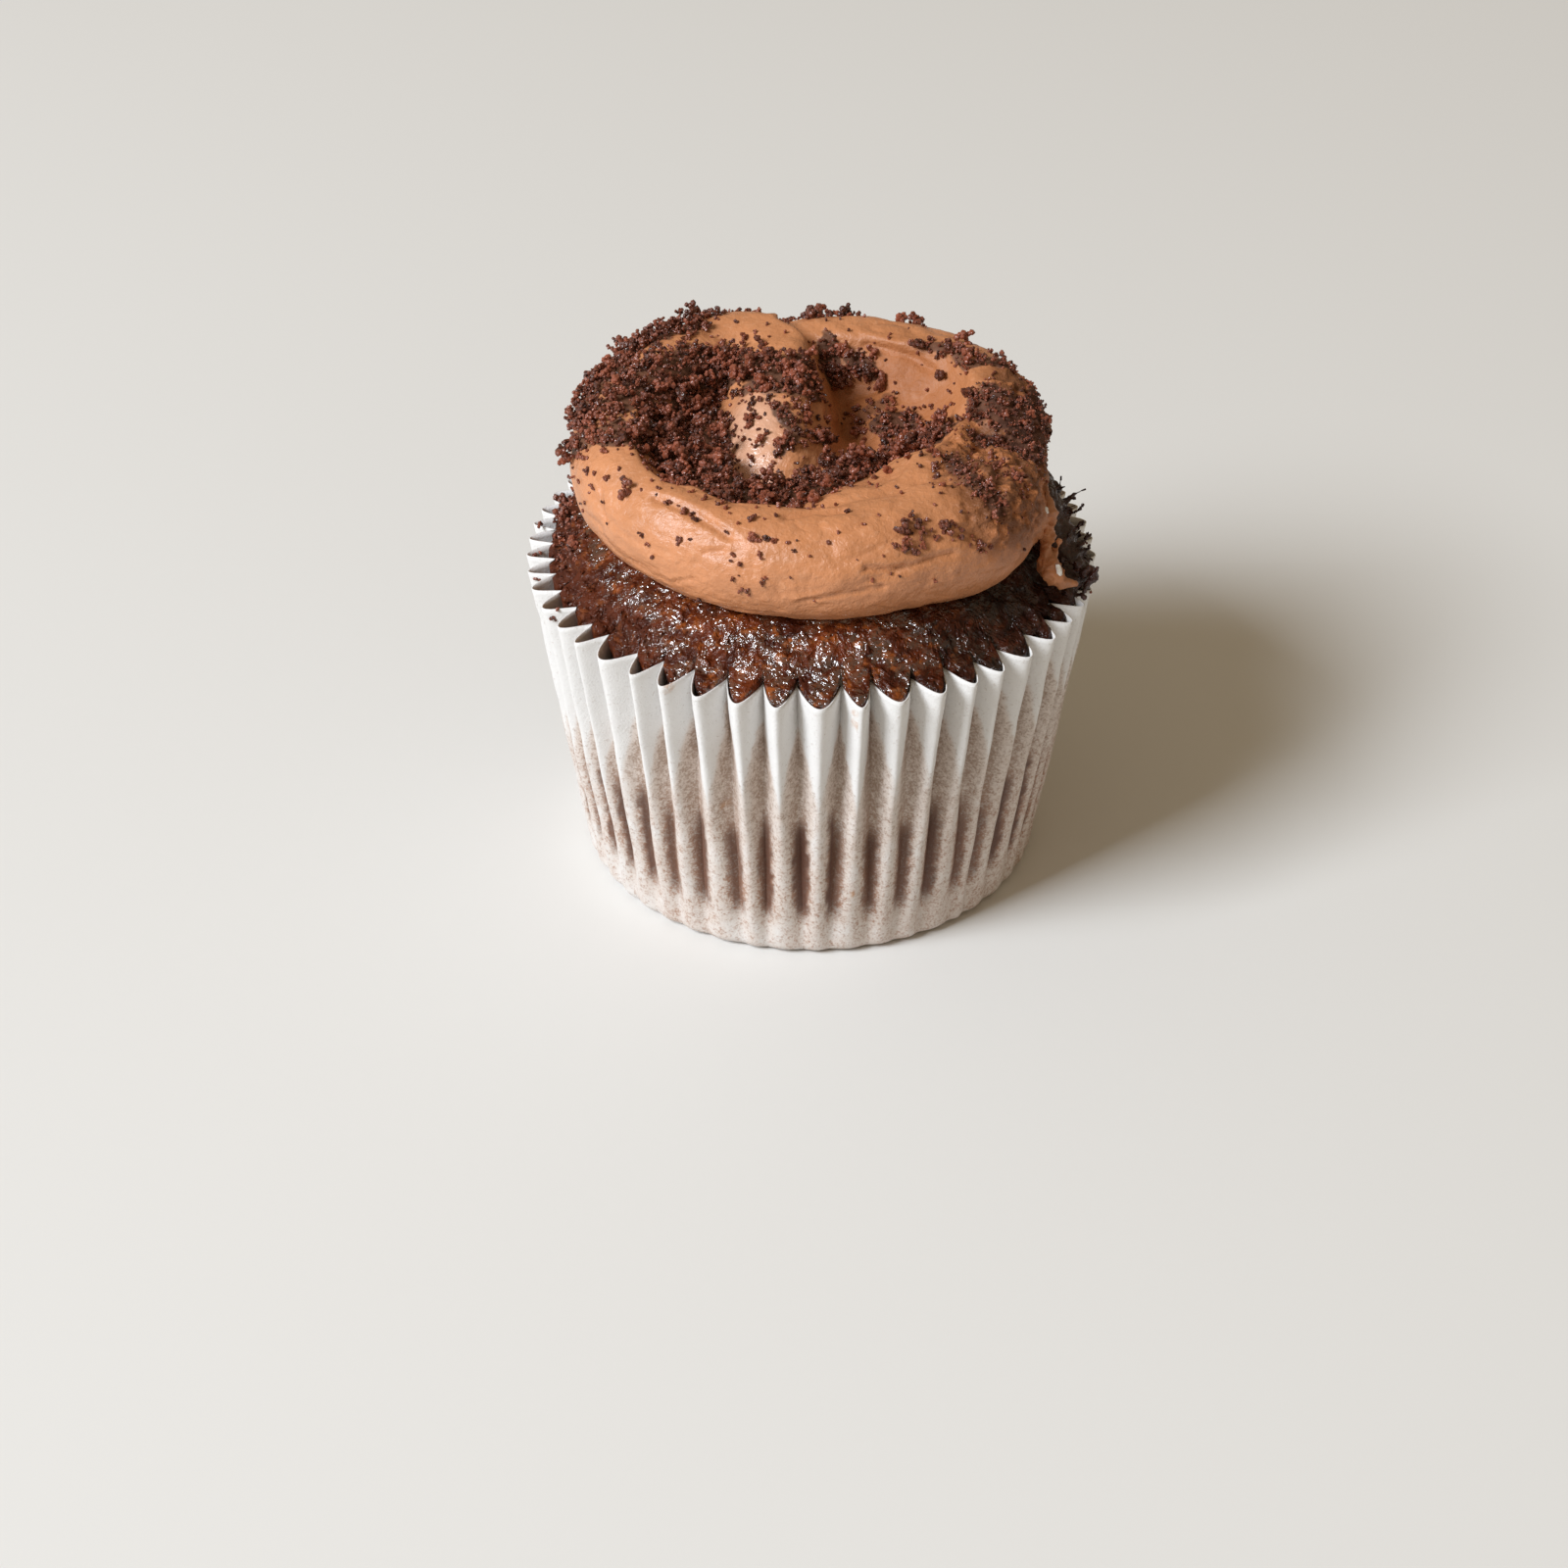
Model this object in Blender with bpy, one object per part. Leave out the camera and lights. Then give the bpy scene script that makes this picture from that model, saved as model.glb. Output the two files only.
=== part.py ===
"""Chocolate cupcake in a pleated paper case, topped with a swirl of chocolate buttercream.

Blender 4.5, metres, +Z up. The origin is the middle of the flat base, and -Y is the front.
Three solids stand clear of each other: the pleated case, the cake that fills it and rises
over its rim, and the buttercream. The buttercream is one thick strand piped round the edge
from the right, whose end turns in from the back to a middle fold, with a shorter strand
that closes the ring behind it.
"""

import math

import bmesh
import bpy

# Paper case
PLEATS = 54
POINTS_PER_PLEAT = 4
FRONT_FOLD = math.radians(-93)  # where in plan the pleats are counted from
FRONT_STRETCH = (0.13, 0.025)  # pleats are wider in front: shares of a first and second wave
BASE_RADIUS = 0.0255
RIM_RADIUS = 0.0311
WALL_LENGTH = 0.0369  # along the paper, from the base's edge to the rim
BASE_CORNER = 0.0012  # width of the turn from the flat base to the wall
KNEE_LENGTH = 0.0120  # along the paper, to where the pleats stop deepening quickly
FOLD_SHARPNESS = 0.8  # under 1, inner folds are sharp and outer flutes round
PAPER = 0.0005
CLEARANCE = 0.0006  # across a pleat's slanting sides this leaves about 0.3 mm

# Cake
CROWN_RADIUS = 0.0316
CROWN_FOOT = 0.0338
CROWN_RISE = 0.0105
CROWN_RINGS = (0.0262, 0.0215, 0.0140)
SHRINK = 0.0022  # how far the crown's edge has sunk where it left the paper
SHRINK_START = 0.0265
SHRINK_SIDES = (-0.9, 0.2)  # sine of the plan angle where the sinking starts and is full

# Buttercream: each station of a piped strand is (x, y, height of its middle, radius)
OUTER_STRAND = (
    (0.0202, -0.0015, 0.0462, 0.0040),
    (0.0192, -0.0064, 0.0460, 0.0059),
    (0.0157, -0.0124, 0.0463, 0.0065),
    (0.0080, -0.0175, 0.0468, 0.0060),
    (0.0000, -0.0194, 0.0467, 0.0057),
    (-0.0080, -0.0177, 0.0468, 0.0057),
    (-0.0150, -0.0124, 0.0471, 0.0059),
    (-0.0193, -0.0040, 0.0475, 0.0061),
    (-0.0193, 0.0052, 0.0480, 0.0063),
    (-0.0156, 0.0130, 0.0484, 0.0064),
    (-0.0094, 0.0180, 0.0486, 0.0064),
    (-0.0046, 0.0160, 0.0487, 0.0066),
    (-0.0034, 0.0090, 0.0478, 0.0068),
    (-0.0036, 0.0010, 0.0455, 0.0064),
    (-0.0042, -0.0050, 0.0434, 0.0044),
)
BACK_STRAND = (
    (-0.0070, 0.0190, 0.0470, 0.0050),
    (0.0000, 0.0198, 0.0476, 0.0060),
    (0.0080, 0.0186, 0.0478, 0.0063),
    (0.0145, 0.0145, 0.0478, 0.0065),
    (0.0190, 0.0080, 0.0474, 0.0064),
    (0.0211, 0.0015, 0.0467, 0.0045),
    (0.0228, -0.0030, 0.0464, 0.0024),
)
INNER_STRAND = (
    (0.0060, 0.0130, 0.0435, 0.0048),
    (0.0115, 0.0090, 0.0446, 0.0058),
    (0.0145, 0.0010, 0.0454, 0.0062),
    (0.0125, -0.0070, 0.0462, 0.0063),
    (0.0070, -0.0125, 0.0467, 0.0055),
)
STRAND_SIDES = 16
STRAND_STEPS = 6  # between two stations
CORE_RADIUS = 0.0180
CORE_HALF_HEIGHT = 0.0050
CORE_MIDDLE = 0.0415
CORE_SEGMENTS = (32, 12)
SWIRL_VOXEL = 0.0008
SWIRL_SMOOTHING = 8
SWIRL_KEPT_FACES = 0.112
RESTING_GAP = 0.00035
CUTTER_RINGS = (0.0300, 0.0262, 0.0215, 0.0140, 0.0070)
CUTTER_POINTS = 72

# Looks: colour, roughness and the angle in degrees from which an edge is shown sharp
WHITE_PAPER = ((0.80, 0.78, 0.75), 0.75, 25)
CHOCOLATE_SPONGE = ((0.09, 0.03, 0.015), 0.40, 40)
BUTTERCREAM = ((0.42, 0.20, 0.10), 0.50, 50)

# Thin tail of buttercream that hangs down the right-hand side
TAIL = (
    (0.0230, -0.0048, 0.0485, 0.0008),
    (0.0246, -0.0080, 0.0462, 0.0008),
    (0.0247, -0.0098, 0.0432, 0.0008),
    (0.0252, -0.0112, 0.0407, 0.0009),
    (0.0276, -0.0116, 0.0394, 0.0007),
)
TAIL_SIDES = 6


def remove_objects():
    for obj in list(bpy.data.objects):
        bpy.data.objects.remove(obj)


def smoothstep(low, high, value):
    share = min(1.0, max(0.0, (value - low) / (high - low)))
    return share * share * (3 - 2 * share)


def turns(count):
    return [2 * math.pi * i / count for i in range(count)]


def polar(radius, angle, height):
    return (radius * math.cos(angle), radius * math.sin(angle), height)


def material(name, colour, roughness):
    made = bpy.data.materials.new(name)
    made.use_nodes = True
    shader = made.node_tree.nodes["Principled BSDF"]
    shader.inputs["Base Color"].default_value = (*colour, 1)
    shader.inputs["Roughness"].default_value = roughness
    shader.inputs["Metallic"].default_value = 0
    return made


def turned_mesh(name, rings, start, end):
    """Closed mesh through rings of points, all of one count, from point start to point end."""
    mesh = bmesh.new()
    first = mesh.verts.new(start)
    loops = [[mesh.verts.new(point) for point in ring] for ring in rings]
    last = mesh.verts.new(end)
    count = len(loops[0])
    for i in range(count):
        after = (i + 1) % count
        mesh.faces.new((first, loops[0][after], loops[0][i]))
        for low, high in zip(loops, loops[1:]):
            mesh.faces.new((low[i], low[after], high[after], high[i]))
        mesh.faces.new((last, loops[-1][i], loops[-1][after]))
    bmesh.ops.recalc_face_normals(mesh, faces=mesh.faces)
    data = bpy.data.meshes.new(name)
    mesh.to_mesh(data)
    mesh.free()
    return data


def link(name, data):
    obj = bpy.data.objects.new(name, data)
    bpy.context.scene.collection.objects.link(obj)
    return obj


def add_piece(name, data, looks):
    colour, roughness, crease_degrees = looks
    obj = link(name, data)
    data.materials.append(material(f"{name}_look", colour, roughness))
    data.shade_smooth()
    data.set_sharp_from_angle(angle=math.radians(crease_degrees))
    return obj


def add_guide(name, data):
    guide = link(name, data)
    guide.hide_render = True
    guide.display_type = "WIRE"
    return guide


def add_boolean(obj, operation, guide):
    step = obj.modifiers.new(guide.name, "BOOLEAN")
    step.operation = operation
    step.object = guide


def pleat_turns():
    return turns(PLEATS * POINTS_PER_PLEAT)


def plan_angle(turn):
    """Where a pleat point lies in plan, from its turn as if all pleats were alike."""
    first, second = FRONT_STRETCH
    return FRONT_FOLD + turn + first * math.sin(turn) + second * math.sin(2 * turn)


def pleat_stretch(turn):
    first, second = FRONT_STRETCH
    return 1 + first * math.cos(turn) + 2 * second * math.cos(2 * turn)


def case_point(turn, length, inset=0.0):
    """(radius, height) on the case's outside, this length up the paper, moved in by inset.

    The paper is a flat disc folded into a cup, so a pleat is as deep as its spare width
    asks, and the rim lies the same length from the base all the way round.
    """
    wall_radius = BASE_RADIUS + (RIM_RADIUS - BASE_RADIUS) * length / WALL_LENGTH
    pitch_share = 2 * math.pi * pleat_stretch(turn) / PLEATS
    flat_pitch = pitch_share * (BASE_RADIUS + length)
    round_pitch = pitch_share * wall_radius
    depth = math.sqrt(max(0.0, flat_pitch**2 - round_pitch**2)) / 2
    flute = abs(math.sin(PLEATS * turn / 2)) ** FOLD_SHARPNESS
    radius = wall_radius - depth * (1 - flute)
    height = math.sqrt(length**2 - (radius - BASE_RADIUS) ** 2)
    return radius - inset, height


def case_rings(inset, lengths, floor):
    """Rings up the case's wall, moved in by inset, from a base ring that lies at floor."""
    corner = BASE_RADIUS - BASE_CORNER - inset
    rings = [[polar(corner, plan_angle(turn), floor) for turn in pleat_turns()]]
    for length in lengths:
        ring = []
        for turn in pleat_turns():
            radius, height = case_point(turn, length, inset)
            ring.append(polar(radius, plan_angle(turn), max(height, floor + BASE_CORNER / 2)))
        rings.append(ring)
    return rings


def make_case():
    lengths = (BASE_CORNER, KNEE_LENGTH, WALL_LENGTH)
    outside = case_rings(0.0, lengths, 0.0)
    inside = case_rings(PAPER, lengths, PAPER)
    data = turned_mesh("paper_case", outside + inside[::-1], (0, 0, 0), (0, 0, PAPER))
    add_piece("paper_case", data, WHITE_PAPER)


def crown_height(radius, angle):
    """Height of the cake's domed top. Away from the front, its edge has sunk a little."""
    dome = CROWN_FOOT + CROWN_RISE * math.sqrt(1 - (radius / CROWN_RADIUS) ** 2)
    away_from_front = smoothstep(*SHRINK_SIDES, math.sin(angle))
    return dome - SHRINK * away_from_front * smoothstep(SHRINK_START, RIM_RADIUS, radius)


def crown_ring(radius, ring_angles, lift=0.0):
    return [polar(radius, angle, crown_height(radius, angle) + lift) for angle in ring_angles]


def make_cake():
    inset = PAPER + CLEARANCE
    wall = case_rings(inset, (BASE_CORNER, KNEE_LENGTH), inset)
    edge = []
    for turn in pleat_turns():
        radius, _ = case_point(turn, WALL_LENGTH, inset)
        angle = plan_angle(turn)
        edge.append(polar(radius, angle, crown_height(radius, angle)))
    ring_angles = [plan_angle(turn) for turn in pleat_turns()]
    crown = [crown_ring(radius, ring_angles) for radius in CROWN_RINGS]
    top = (0, 0, crown_height(0.0, 0.0))
    data = turned_mesh("cake", [*wall, edge, *crown], (0, 0, inset), top)
    add_piece("cake", data, CHOCOLATE_SPONGE)


def strand_mesh(stations, sides):
    """Mesh of a tube whose radius follows the stations along a smooth path through them."""
    curve = bpy.data.curves.new("strand", "CURVE")
    curve.dimensions = "3D"
    curve.bevel_depth = 1
    curve.bevel_resolution = sides // 2 - 1
    curve.resolution_u = STRAND_STEPS
    curve.use_fill_caps = True
    spline = curve.splines.new("BEZIER")
    spline.bezier_points.add(len(stations) - 1)
    for point, (x, y, z, radius) in zip(spline.bezier_points, stations):
        point.co = (x, y, z)
        point.radius = radius
        point.handle_left_type = point.handle_right_type = "AUTO"
    path = link("strand", curve)
    evaluated = path.evaluated_get(bpy.context.evaluated_depsgraph_get())
    data = bpy.data.meshes.new_from_object(evaluated)
    bpy.data.objects.remove(path)
    return data


def make_crown_cutter():
    """Solid under the buttercream: the cake's crown, raised by the resting gap."""
    ring_angles = turns(CUTTER_POINTS)
    bottom = CROWN_FOOT - CROWN_RISE
    foot = [polar(CUTTER_RINGS[0], angle, bottom) for angle in ring_angles]
    crown = [crown_ring(radius, ring_angles, RESTING_GAP) for radius in CUTTER_RINGS]
    top = (0, 0, crown_height(0.0, 0.0) + RESTING_GAP)
    return add_guide("crown_cutter", turned_mesh("crown_cutter", [foot, *crown], (0, 0, bottom), top))


def make_buttercream():
    mesh = bmesh.new()
    for stations in (OUTER_STRAND, BACK_STRAND, INNER_STRAND):
        mesh.from_mesh(strand_mesh(stations, STRAND_SIDES))
    round_it, up_it = CORE_SEGMENTS
    core = bmesh.ops.create_uvsphere(
        mesh, u_segments=round_it, v_segments=up_it, radius=CORE_RADIUS
    )
    for vert in core["verts"]:
        vert.co.z = CORE_MIDDLE + vert.co.z * CORE_HALF_HEIGHT / CORE_RADIUS
    data = bpy.data.meshes.new("buttercream")
    mesh.to_mesh(data)
    mesh.free()
    swirl = add_piece("buttercream", data, BUTTERCREAM)
    remesh = swirl.modifiers.new("one skin", "REMESH")
    remesh.mode = "VOXEL"
    remesh.voxel_size = SWIRL_VOXEL
    remesh.use_smooth_shade = True
    smooth = swirl.modifiers.new("soften", "SMOOTH")
    smooth.iterations = SWIRL_SMOOTHING
    fewer = swirl.modifiers.new("fewer faces", "DECIMATE")
    fewer.ratio = SWIRL_KEPT_FACES
    add_boolean(swirl, "DIFFERENCE", make_crown_cutter())
    add_boolean(swirl, "UNION", add_guide("tail", strand_mesh(TAIL, TAIL_SIDES)))


def main():
    remove_objects()
    make_case()
    make_cake()
    make_buttercream()


main()
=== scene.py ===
"""Chocolate cupcake in its paper case: the fine surfaces, laid out as a Blender add-on.

The packed solids give every place and size. Each operator makes one piece, or a group of
like pieces, and the panel lists them in the order in which they are made.
"""

import math
import random

import bmesh
import bpy
import numpy as np
from bpy.props import FloatProperty, FloatVectorProperty, IntProperty, PointerProperty
from mathutils import Matrix, Vector, noise
from mathutils.bvhtree import BVHTree


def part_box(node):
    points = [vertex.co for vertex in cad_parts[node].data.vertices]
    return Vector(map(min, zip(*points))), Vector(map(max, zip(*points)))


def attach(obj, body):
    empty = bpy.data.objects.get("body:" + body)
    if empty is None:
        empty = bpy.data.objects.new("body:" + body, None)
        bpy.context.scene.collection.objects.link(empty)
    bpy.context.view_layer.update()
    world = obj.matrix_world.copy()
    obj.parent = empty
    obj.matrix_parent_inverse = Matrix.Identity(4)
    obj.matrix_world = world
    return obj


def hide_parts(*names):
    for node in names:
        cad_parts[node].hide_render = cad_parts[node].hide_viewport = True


bl_info = {
    "name": "Chocolate Cupcake",
    "version": (1, 0, 0),
    "blender": (4, 5, 0),
    "location": "3D View > Sidebar > Cupcake",
    "description": "Makes a chocolate cupcake in a pleated paper case, with crumbs on its buttercream",
    "category": "Add Mesh",
}

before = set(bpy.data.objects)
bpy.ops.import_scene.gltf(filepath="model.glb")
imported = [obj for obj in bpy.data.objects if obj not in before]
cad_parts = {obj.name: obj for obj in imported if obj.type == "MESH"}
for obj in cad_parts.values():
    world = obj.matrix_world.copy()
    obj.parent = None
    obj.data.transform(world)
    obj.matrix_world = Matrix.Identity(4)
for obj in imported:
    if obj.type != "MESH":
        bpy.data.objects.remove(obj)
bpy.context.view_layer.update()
CASE_LOW, CASE_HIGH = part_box("paper_case")
CAKE_LOW, CAKE_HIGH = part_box("cake")
SWIRL_LOW, SWIRL_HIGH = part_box("buttercream")
MM = 0.001


# ---------------------------------------------------------------- settings


class CaseSettings(bpy.types.PropertyGroup):
    """Sizes and colours of the paper case"""

    pleats: IntProperty(name="Pleats", description="Folds round the case", default=54, min=12)
    columns: IntProperty(
        name="Columns a pleat", description="Faces across one pleat", default=14, min=6
    )
    rows: IntProperty(name="Rows", description="Faces up the wall", default=54, min=10)
    base_radius: FloatProperty(
        name="Base radius", description="To the foot of the wall", default=0.0255, unit="LENGTH"
    )
    rim_radius: FloatProperty(
        name="Rim radius", description="To the outside of a flute at the rim",
        default=CASE_HIGH.x, unit="LENGTH",
    )
    wall_length: FloatProperty(
        name="Wall length", description="Along the paper, from the base to the rim",
        default=0.0369, unit="LENGTH",
    )
    thickness: FloatProperty(
        name="Paper", description="Thickness of the paper", default=0.00012, unit="LENGTH"
    )
    white: FloatVectorProperty(
        name="White", description="Clean paper near the rim", subtype="COLOR",
        default=(0.75, 0.735, 0.72),
    )
    soak_and_shadow: FloatVectorProperty(
        name="Soaked", description="See-through paper low down, against the cake",
        subtype="COLOR", default=(0.36, 0.195, 0.125),
    )
    frosted: FloatVectorProperty(
        name="Frosted", description="Paler fibres of the see-through paper", subtype="COLOR",
        default=(0.66, 0.58, 0.525),
    )
    mottled: FloatVectorProperty(
        name="Mottled", description="See-through paper half-way up", subtype="COLOR",
        default=(0.37, 0.27, 0.21),
    )
    # Groove: the cake seen through the paper, darkened further as painted shade of the narrow folds.
    groove: FloatVectorProperty(
        name="Groove", description="Cake seen through the paper in the low folds",
        subtype="COLOR", default=(0.085, 0.032, 0.020),
    )
    stain: FloatVectorProperty(
        name="Stain", description="Crumb stuck to the paper", subtype="COLOR",
        default=(0.50, 0.22, 0.06),
    )


class CakeSettings(bpy.types.PropertyGroup):
    """Sizes and colours of the sponge"""

    crown_radius: FloatProperty(
        name="Crown radius", description="Where the dome would meet the level of its foot",
        default=0.0316, unit="LENGTH",
    )
    crown_foot: FloatProperty(
        name="Crown foot", description="Height that the dome springs from",
        default=0.0338, unit="LENGTH",
    )
    crown_rise: FloatProperty(
        name="Crown rise", description="Height of the dome over its foot",
        default=0.0105, unit="LENGTH",
    )
    crust: FloatVectorProperty(
        name="Crust", description="Moist, nearly black crust", subtype="COLOR",
        default=(0.046, 0.0080, 0.0026),
    )
    lumps: FloatVectorProperty(
        name="Lumps", description="Lighter lumps of crumb in the crust", subtype="COLOR",
        default=(0.130, 0.024, 0.005),
    )
    amber: FloatVectorProperty(
        name="Amber", description="See-through, syrupy spots in the crust", subtype="COLOR",
        default=(0.33, 0.085, 0.015),
    )


class SwirlSettings(bpy.types.PropertyGroup):
    """Sizes and colours of the buttercream"""

    form_voxel: FloatProperty(
        name="Form voxel", description="Grid on which the strands flow together",
        default=0.0005, unit="LENGTH",
    )
    form_smoothing: IntProperty(
        name="Form smoothing", description="Steps that soften where the strands meet", default=5
    )
    skin_voxel: FloatProperty(
        name="Skin voxel", description="Grid of the finished surface",
        default=0.00032, unit="LENGTH",
    )
    cream: FloatVectorProperty(
        name="Cream", description="Chocolate buttercream", subtype="COLOR",
        default=(0.585, 0.235, 0.098),
    )
    # Pale paints sheen: the material lightens the left side, toward the key light, and the crests of the
    # fine bumps with it.
    pale: FloatVectorProperty(
        name="Pale", description="Lighter, satin film on the buttercream", subtype="COLOR",
        default=(0.66, 0.33, 0.18),
    )
    # A painted highlight: the near-white patch on the middle fold's front left face.
    painted_highlight: FloatVectorProperty(
        name="Film", description="Glossy, nearly white film on the middle fold", subtype="COLOR",
        default=(0.74, 0.45, 0.32),
    )
    # A brown that paints shade in the hollow of the swirl; on the torn right side it is partly the torn
    # skin's own colour and partly painted shade away from the key light.
    shade_and_torn: FloatVectorProperty(
        name="Deep", description="Browner buttercream inside the swirl and where it is torn",
        subtype="COLOR", default=(0.37, 0.122, 0.034),
    )


class CrumbSettings(bpy.types.PropertyGroup):
    """Sizes and colours of the crumbs"""

    seed: IntProperty(name="Seed", description="Draw of the crumbs' places", default=11)
    # Dark and Light are shaded and lit copies of the crumb colour, mixed at random over each crumb and
    # from crumb to crumb: painted shade and painted light.
    dark: FloatVectorProperty(
        name="Dark", description="Shaded side of a crumb", subtype="COLOR",
        default=(0.030, 0.0072, 0.0038),
    )
    light: FloatVectorProperty(
        name="Light", description="Dry, lighter side of a crumb", subtype="COLOR",
        default=(0.29, 0.078, 0.038),
    )


class StageSettings(bpy.types.PropertyGroup):
    """Floor, lights and camera"""

    floor: FloatVectorProperty(
        name="Floor", description="Pale floor", subtype="COLOR", default=(0.74, 0.73, 0.71)
    )
    key_strength: FloatProperty(
        name="Key strength", description="Soft light from the front left", default=38.0,
        unit="POWER",
    )
    sky_strength: FloatProperty(
        name="Sky strength", description="Even light from all round", default=0.31
    )
    lens: FloatProperty(
        name="Lens", description="Focal length of the camera", default=76.7, subtype="DISTANCE_CAMERA"
    )


# ---------------------------------------------------------------- shared helpers


def smoothstep(low, high, value):
    share = np.clip((value - low) / (high - low), 0.0, 1.0)
    return share * share * (3 - 2 * share)


def waves(points, size, seed=0.0):
    """Smooth noise from -1 to 1 at each point, with waves of this size."""
    shift = Vector((seed * 17.3, seed * 5.1, seed * 9.7))
    return np.array([noise.noise(Vector(p) / size + shift) for p in points])


def rough_waves(points, size, octaves, seed=0.0):
    shift = Vector((seed * 13.7, seed * 7.9, seed * 3.3))
    return np.array([noise.fractal(Vector(p) / size + shift, 1.0, 2.0, octaves) for p in points])


def cell_distance(points, size, seed=0.0):
    """Distance to the nearest of the scattered cell centres, as a share of size."""
    shift = Vector((seed * 11.1, seed * 2.3, seed * 6.7))
    return np.array([noise.voronoi(Vector(p) / size + shift)[0][0] for p in points])


def link(name, data):
    obj = bpy.data.objects.new(name, data)
    bpy.context.scene.collection.objects.link(obj)
    return obj


def drop(obj):
    """Removes a working object and its data."""
    data = obj.data
    bpy.data.objects.remove(obj)
    if isinstance(data, bpy.types.Mesh):
        bpy.data.meshes.remove(data)
    else:
        bpy.data.curves.remove(data)


def baked(obj):
    """The object's mesh with its modifiers applied."""
    graph = bpy.context.evaluated_depsgraph_get()
    return bpy.data.meshes.new_from_object(obj.evaluated_get(graph))


def coordinates(mesh):
    places = np.empty(len(mesh.vertices) * 3)
    mesh.vertices.foreach_get("co", places)
    return places.reshape(-1, 3)


def directions(mesh):
    normals = np.empty(len(mesh.vertices) * 3)
    mesh.vertices.foreach_get("normal", normals)
    return normals.reshape(-1, 3)


def place_vertices(mesh, places):
    mesh.vertices.foreach_set("co", np.asarray(places, dtype=float).ravel())
    mesh.update()


def grid_faces(rows, columns):
    """Quads over rows of vertices that close round on themselves."""
    faces = []
    for row in range(rows - 1):
        start = row * columns
        for column in range(columns):
            after = (column + 1) % columns
            faces.append(
                (start + column, start + after, start + columns + after, start + columns + column)
            )
    return faces


def store(mesh, name, values):
    """Keeps one number a vertex, for the material to read."""
    layer = mesh.attributes.new(name, "FLOAT", "POINT")
    layer.data.foreach_set("value", np.asarray(values, dtype=float))


class Nodes:
    """A material's node tree, built up by name."""

    def __init__(self, name):
        self.material = bpy.data.materials.new(name)
        self.material.use_nodes = True
        self.tree = self.material.node_tree
        self.shader = self.tree.nodes["Principled BSDF"]
        self.coords = self.tree.nodes.new("ShaderNodeTexCoord").outputs["Object"]

    def link(self, source, target):
        self.tree.links.new(source, target)

    def set(self, **values):
        for name, value in values.items():
            self.shader.inputs[name.replace("_", " ")].default_value = value

    def noise(self, size, detail=4.0, roughness=0.55, distortion=0.0, vector=None):
        node = self.tree.nodes.new("ShaderNodeTexNoise")
        node.inputs["Scale"].default_value = 1 / size
        node.inputs["Detail"].default_value = detail
        node.inputs["Roughness"].default_value = roughness
        node.inputs["Distortion"].default_value = distortion
        self.link(self.coords if vector is None else vector, node.inputs["Vector"])
        return node.outputs["Fac"]

    def cells(self, size, feature="F1", randomness=1.0):
        node = self.tree.nodes.new("ShaderNodeTexVoronoi")
        node.feature = feature
        node.inputs["Scale"].default_value = 1 / size
        node.inputs["Randomness"].default_value = randomness
        self.link(self.coords, node.inputs["Vector"])
        return node.outputs["Distance"]

    def stretched(self, scale):
        node = self.tree.nodes.new("ShaderNodeMapping")
        node.inputs["Scale"].default_value = scale
        self.link(self.coords, node.inputs["Vector"])
        return node.outputs["Vector"]

    def attribute(self, name):
        node = self.tree.nodes.new("ShaderNodeAttribute")
        node.attribute_name = name
        return node.outputs["Fac"]

    def math(self, operation, first, second=0.0, third=None):
        node = self.tree.nodes.new("ShaderNodeMath")
        node.operation = operation
        for slot, value in zip(node.inputs, (first, second, third)):
            if value is None:
                continue
            if isinstance(value, (int, float)):
                slot.default_value = value
            else:
                self.link(value, slot)
        return node.outputs["Value"]

    def spread(self, value, low, high, to_low=0.0, to_high=1.0, smooth=True):
        """value from low to high, stretched to the new limits and held there."""
        node = self.tree.nodes.new("ShaderNodeMapRange")
        node.interpolation_type = "SMOOTHSTEP" if smooth else "LINEAR"
        limits = {"From Min": low, "From Max": high, "To Min": to_low, "To Max": to_high}
        for name, limit in limits.items():
            node.inputs[name].default_value = limit
        self.link(value, node.inputs["Value"])
        return node.outputs["Result"]

    def mix(self, share, first, second):
        node = self.tree.nodes.new("ShaderNodeMix")
        node.data_type = "RGBA"
        self.link(share, node.inputs["Factor"])
        for name, value in (("A", first), ("B", second)):
            slot = next(s for s in node.inputs if s.name == name and s.type == "RGBA")
            if isinstance(value, bpy.types.NodeSocket):
                self.link(value, slot)
            else:
                slot.default_value = (*value[:3], 1.0)
        return next(s for s in node.outputs if s.type == "RGBA")

    def bump(self, height, distance, strength=1.0, after=None):
        node = self.tree.nodes.new("ShaderNodeBump")
        node.inputs["Distance"].default_value = distance
        node.inputs["Strength"].default_value = strength
        self.link(height, node.inputs["Height"])
        if after is not None:
            self.link(after, node.inputs["Normal"])
        return node.outputs["Normal"]

    def finish(self, colour=None, roughness=None, normal=None):
        for name, source in (("Base Color", colour), ("Roughness", roughness), ("Normal", normal)):
            if source is not None:
                self.link(source, self.shader.inputs[name])
        return self.material


def shade(colour, factor):
    return tuple(channel * factor for channel in colour[:3])


def add_piece(name, mesh, material, slot, *nodes, crease=None):
    """A finished piece on the part's one body, which stands for these packed solids."""
    piece = link(name, mesh)
    mesh.materials.clear()
    mesh.materials.append(material)
    if crease != 0:
        mesh.shade_smooth()
    if crease:
        mesh.set_sharp_from_angle(angle=math.radians(crease))
    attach(piece, "root")
    if nodes:
        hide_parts(*nodes)
    return piece


# ---------------------------------------------------------------- paper case

FRONT_FOLD = math.radians(-93)
FRONT_STRETCH = (0.13, 0.025)


def plan_angle(turn):
    """Where a pleat point lies in plan. Pleats are wider in front, where the cake fills them."""
    first, second = FRONT_STRETCH
    return FRONT_FOLD + turn + first * np.sin(turn) + second * np.sin(2 * turn)


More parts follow.
